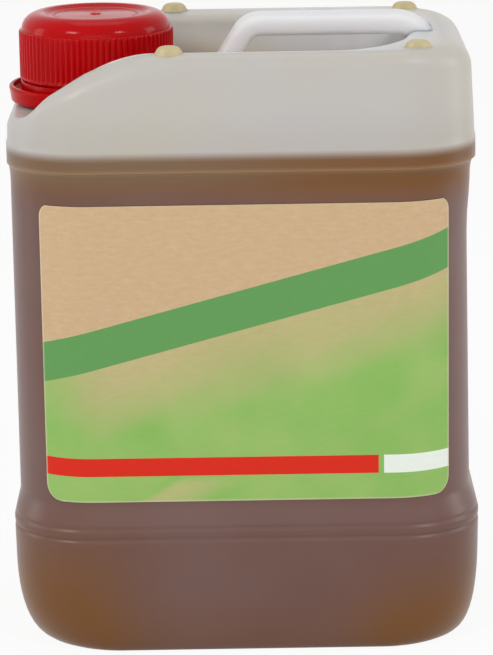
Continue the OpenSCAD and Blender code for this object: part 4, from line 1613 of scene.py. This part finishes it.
@dataclass
class ScrewCap:
    """The ribbed cap: a turned profile whose skirt dips between ribs, and an inner thread."""

    neck: NeckSizes
    low_z: float = 190.2
    under_z: float = 209.5
    top_z: float = 212.8
    plate_z: float = 211.7
    skirt_r: float = 23.0
    outer_r: float = 26.3
    rib_count: int = 80
    rib_steps: int = 8
    rib_depth: float = 0.55
    rib_power: float = 1.4
    rib_low: float = 0.7
    rib_low_run: float = 0.9
    rib_high: float = 207.1
    rib_high_run: float = 0.8
    ledge: float = 0.35
    shoulder_run: float = 6.6
    rim_r: float = 18.2
    dish_r: float = 16.0
    disc_r: float = 14.2
    groove: float = 0.35
    groove_half: float = 0.5
    pip_r: float = 1.5
    pip_h: float = 0.5
    middle_r: float = 0.2
    edge_cut: float = 0.35
    top_cut: float = 0.45
    edge_steps: int = 5
    shoulder_steps: int = 14
    rib_over: float = 0.1
    rib_fade: float = 0.6
    least_r: float = 1.0
    thread_turns: float = 2.0

    def profile(self) -> np.ndarray:
        """Draw the cap from the middle of its underside to the middle of its top.

        The shoulder between ribs and top is a quarter of an ellipse. The top dips into a shallow
        dish with one fine ring groove and a small moulding pip in the middle. Where a point stands
        up to 1 mm off a named size, it eases an edge, and two points only divide the ribbed wall.

        Returns:
            Radius and height of each point, shape (n, 2).
        """
        core = self.outer_r - self.rib_depth
        q = np.linspace(0, 0.5 * np.pi, self.shoulder_steps)[:-1]
        shoulder = np.stack([core - self.shoulder_run + (self.shoulder_run - self.ledge) * np.cos(q),
                             self.rib_high + (self.top_z - self.rib_high) * np.sin(q)], -1)
        skirt = soften(np.array([
            [self.middle_r, self.under_z], [self.skirt_r, self.under_z],
            [self.skirt_r, self.low_z + 0.6], [self.skirt_r + 0.6, self.low_z],
            [self.outer_r - 0.3, self.low_z], [self.outer_r, self.low_z + 0.9],
            [self.outer_r, self.low_z + 2.2], [self.outer_r, self.rib_high - 2.0],
            [self.outer_r, self.rib_high - 0.5], [core, self.rib_high]]), self.edge_cut, self.edge_steps)
        top = soften(np.array([
            [core - self.shoulder_run, self.top_z], [self.rim_r, self.top_z - 0.05],
            [self.dish_r, self.plate_z], [self.disc_r + self.groove_half, self.plate_z],
            [self.disc_r, self.plate_z - self.groove], [self.disc_r - self.groove_half, self.plate_z],
            [self.pip_r + 0.5, self.plate_z], [self.pip_r, self.plate_z + self.pip_h - 0.1],
            [self.middle_r, self.plate_z + self.pip_h]]), self.top_cut, self.edge_steps)
        return np.concatenate([skirt, shoulder, top])

    def build(self, finish: MouldedPolypropylene) -> bpy.types.Object:
        """Make the cap with its ribs and its thread.

        Between ribs the radius drops by the depth times ((1 + cos(n q)) / 2)^p at a turn q, for n
        ribs. The dips fade out at the skirt's two ends and inside the outer wall. The drop is
        applied as a share of the radius, and the least radius only guards that division.

        Args:
            finish: The cap's finish.

        Returns:
            The new piece.
        """
        cap = revolve(self.profile(), self.neck.x, self.rib_count * self.rib_steps)
        x, y, z = cap.points.T
        r = np.hypot(x - self.neck.x, y)
        q = np.arctan2(y, x - self.neck.x)
        dip = (0.5 + 0.5 * np.cos(q * self.rib_count)) ** self.rib_power
        over_foot = smooth((z - self.low_z - self.rib_low) / self.rib_low_run)
        tall = over_foot * smooth((self.rib_high + self.rib_over - z) / self.rib_high_run)
        outer = smooth((r - (self.outer_r - self.rib_depth)) / (self.rib_fade * self.rib_depth))
        lower = self.rib_depth * dip * tall * outer / np.maximum(r, self.least_r)
        cap.points[:, 0] = x - (x - self.neck.x) * lower
        cap.points[:, 1] = y - y * lower
        n = self.neck
        thread = ThreadRidge(n.x, self.skirt_r, -n.thread_height, n.thread_width, n.pitch,
                             n.bead_high + n.thread_gap + n.pitch / 2, self.thread_turns)
        surface = join([cap, thread.surface()])
        return add_piece("ribbed_cap", surface, finish.build(), "cap", "screw_cap")


# The side of one bridge of the break ring: radius and height over its root.
BRIDGE_SIDE = np.array([[0.05, 0.0], [0.42, 0.0], [0.36, 0.3], [0.3, 0.6], [0.05, 0.6]])


@dataclass
class BreakRing:
    """The ring that stays on the neck: a flared gutter, a hook under the bead and thin bridges."""

    neck: NeckSizes
    low_z: float = 182.9
    high_z: float = 189.9
    rim_drop: float = 1.5
    rim_t: float = 1.7
    gutter_depth: float = 2.0
    outer_r: float = 30.2
    cap_r: float = 26.3
    neck_gap: float = 0.6
    bead_gap: float = 0.4
    hook_drop: float = 0.3
    bridges: int = 12
    bridge_in: float = 0.75
    bridge_root: float = 0.35
    bridge_around: int = 10
    around: int = 192
    wall_in: float = 0.3
    hook_slope: float = 1.0
    edge_cut: float = 0.35
    edge_steps: int = 4

    def profile(self) -> np.ndarray:
        """Draw the ring's closed section: hook, foot, flared side, lip, gutter and inner wall.

        Where a point stands up to 1.5 mm off a named size, it shapes the foot, the flare or the lip.

        Returns:
            Radius and height of each point, shape (n, 2).
        """
        hook = self.neck.radius + self.neck_gap
        inner = self.neck.radius + self.neck.bead_out + self.bead_gap
        wall = self.cap_r - self.wall_in
        gutter = self.outer_r - self.rim_t
        bead = self.neck.bead_low
        rim = self.high_z - self.rim_drop
        floor = rim - self.gutter_depth
        return soften(np.array([
            [hook, self.low_z + 0.8], [hook + 1.5, self.low_z + 0.3], [self.outer_r - 1.4, self.low_z],
            [self.outer_r - 0.7, self.low_z + 0.3], [self.outer_r - 0.3, floor],
            [self.outer_r, rim - 0.7], [self.outer_r - 0.4, rim], [gutter + 0.2, rim], [gutter, floor],
            [wall, floor], [wall, self.high_z], [inner, self.high_z], [inner, bead - self.hook_drop],
            [hook, bead - self.hook_drop - self.hook_slope]]), self.edge_cut, self.edge_steps, True)

    def build(self, finish: MouldedPolypropylene) -> bpy.types.Object:
        """Make the ring, and its bridges as small posts round its inner edge.

        Args:
            finish: The ring's finish.

        Returns:
            The new piece.
        """
        ring = revolve(self.profile(), self.neck.x, self.around, True)
        bridge = revolve(BRIDGE_SIDE + [0.0, self.high_z - self.bridge_root], 0.0, self.bridge_around)
        out = self.neck.radius + self.neck.bead_out + self.bead_gap + self.bridge_in
        turns = np.linspace(0, 2 * np.pi, self.bridges, endpoint=False)
        places = np.stack([self.neck.x + out * np.cos(turns), out * np.sin(turns), 0 * turns], -1)
        posts = [Surface(bridge.points + place, bridge.quads, bridge.triangles) for place in places]
        return add_piece("break_ring", join([ring, *posts]), finish.build(), "jug", "tamper_ring")


def seen_rays(owner: bpy.types.Material | bpy.types.World) -> bpy.types.NodeSocket:
    """Tell the rays that see a surface, mirror it or come through something clear from the others.

    Args:
        owner: The material or world that gets the nodes.

    Returns:
        The socket that is 1 for such rays, and 0 for those that only carry light.
    """
    rays = add_node(owner, "ShaderNodeLightPath")
    seen = rays.outputs["Is Camera Ray"]
    for other in ("Is Glossy Ray", "Is Transmission Ray"):
        seen = add_node(owner, "ShaderNodeMath", None, {0: seen, 1: rays.outputs[other]},
                        operation="MAXIMUM").outputs[0]
    return seen


@dataclass(frozen=True)
class Lamp:
    """A soft rectangular lamp: where it hangs, its width and height in metres, and its watts."""

    name: str
    place: Place
    size: tuple[float, float]
    power: float


LAMPS = (
    Lamp("left_front", (-0.95, -1.15, 1.05), (0.45, 0.3), 8.8),
    Lamp("right_front", (0.95, -1.15, 1.0), (0.3, 0.3), 6.2),
    Lamp("front_fill", (0.0, -1.7, 0.3), (1.4, 0.6), 2.8),
    Lamp("overhead", (0.0, 0.25, 1.5), (0.9, 0.7), 3.0),
    Lamp("left_side", (-1.3, 0.15, 0.35), (0.4, 0.9), 3.0),
    Lamp("right_side", (1.3, 0.15, 0.35), (0.4, 0.9), 4.0),
)


@dataclass
class Studio:
    """A pale floor, a white surround, soft lamps and the camera of the photograph, in metres."""

    floor_half: float = 6.0
    floor_colour: str = "F4F4F3"
    floor_white: float = 0.92
    surround: float = 0.34
    lit_point: Place = (0.0, 0.0, 0.11)
    camera_at: Place = (0.00094, -1.0837, 0.3694)
    pitch_deg: float = 13.92
    roll: float = 0.0156
    lens_mm: float = 175.9
    sensor_mm: float = 36.0

    def floor(self) -> None:
        """Lay the floor: pale matt card that keeps the shadow under a share of plain white."""
        mesh = bpy.data.meshes.new("studio_floor")
        h = self.floor_half
        mesh.from_pydata([(-h, -h, 0), (h, -h, 0), (h, h, 0), (-h, h, 0)], [], [(0, 1, 2, 3)])
        card = new_material("pale_card_matt")
        share = add_node(card, "ShaderNodeMath", {1: self.floor_white}, {0: seen_rays(card)},
                         operation="MULTIPLY")
        matt = add_node(card, "ShaderNodeBsdfDiffuse", {"Color": linear(self.floor_colour)})
        white = add_node(card, "ShaderNodeEmission", {"Color": (1.0, 1.0, 1.0, 1.0), "Strength": 1.0})
        mixed = add_node(card, "ShaderNodeMixShader", None, {0: share.outputs[0], 1: matt.outputs[0],
                         2: white.outputs[0]})
        add_node(card, "ShaderNodeOutputMaterial", None, {"Surface": mixed.outputs[0]})
        mesh.materials.append(card)
        floor = bpy.data.objects.new("studio_floor", mesh)
        bpy.context.scene.collection.objects.link(floor)

    def world(self) -> None:
        """Make the surround: white where it is seen or mirrored, and a plain soft light elsewhere."""
        world = bpy.data.worlds.new("studio")
        bpy.context.scene.world = world
        world.use_nodes = True
        world.node_tree.nodes.clear()
        level = add_node(world, "ShaderNodeMapRange", {"To Min": self.surround, "To Max": 1.0},
                         {"Value": seen_rays(world)})
        light = add_node(world, "ShaderNodeBackground", {"Color": (1.0, 1.0, 1.0, 1.0)},
                         {"Strength": level.outputs["Result"]})
        add_node(world, "ShaderNodeOutputWorld", None, {"Surface": light.outputs[0]})

    def hang(self, lamp: Lamp) -> None:
        """Hang one lamp, turned to face the point that is lit.

        Args:
            lamp: The lamp.
        """
        data = bpy.data.lights.new(lamp.name, "AREA")
        data.shape = "RECTANGLE"
        data.size, data.size_y = lamp.size
        data.energy = lamp.power
        hung = bpy.data.objects.new(lamp.name, data)
        hung.location = lamp.place
        ahead = Vector(self.lit_point) - Vector(lamp.place)
        hung.rotation_euler = ahead.to_track_quat("-Z", "Y").to_euler()
        bpy.context.scene.collection.objects.link(hung)

    def camera(self) -> None:
        """Set up the camera from its place, its pitch below level, its small roll and its lens."""
        data = bpy.data.cameras.new("photo_camera")
        data.lens = self.lens_mm
        data.sensor_width = self.sensor_mm
        camera = bpy.data.objects.new("photo_camera", data)
        p = math.radians(self.pitch_deg)
        ahead = Vector((0, math.cos(p), -math.sin(p)))
        level_up = Vector((0, math.sin(p), math.cos(p)))
        side = math.cos(self.roll) * Vector((1, 0, 0)) - math.sin(self.roll) * level_up
        up = math.sin(self.roll) * Vector((1, 0, 0)) + math.cos(self.roll) * level_up
        turn = Matrix((side, up, -ahead)).transposed()
        camera.matrix_world = Matrix.Translation(self.camera_at) @ turn.to_4x4()
        bpy.context.scene.collection.objects.link(camera)
        bpy.context.scene.camera = camera

    def build(self) -> None:
        """Make the floor, the surround, the lamps and the camera."""
        self.floor()
        self.world()
        for lamp in LAMPS:
            self.hang(lamp)
        bpy.context.scene.view_settings.view_transform = "Standard"
        self.camera()
        log.info("studio: floor, surround, %d lamps and the camera", len(LAMPS))


def dress_node(name: str, material: bpy.types.Material) -> None:
    """Give a node that stays in view its finish, in each of its material slots.

    Args:
        name: The node's name.
        material: Its finish.
    """
    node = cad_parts[name]
    for place in node.material_slots:
        place.material = material
    if not node.material_slots:
        node.data.materials.append(material)
    log.info("%s: finish %s", name, material.name)


def main() -> None:
    """Build the studio and every piece of the can, in order."""
    Studio().build()
    neck = NeckSizes()
    can = BlownCan(neck)
    can.build(NaturalPolyethylene())
    OilFill(can).build(ChainOil())
    WrapLabel(can).build()
    ScrewCap(neck).build(MouldedPolypropylene())
    ring_finish = MouldedPolypropylene("polypropylene_break_ring", "C20408", "AC0206", 0.22, 0.06)
    BreakRing(neck).build(ring_finish)
    dress_node("cap_liner", FoamedPolyethylene().build())


if __name__ == "__main__":
    logging.basicConfig(level=logging.INFO, format="%(name)s: %(message)s")
    main()
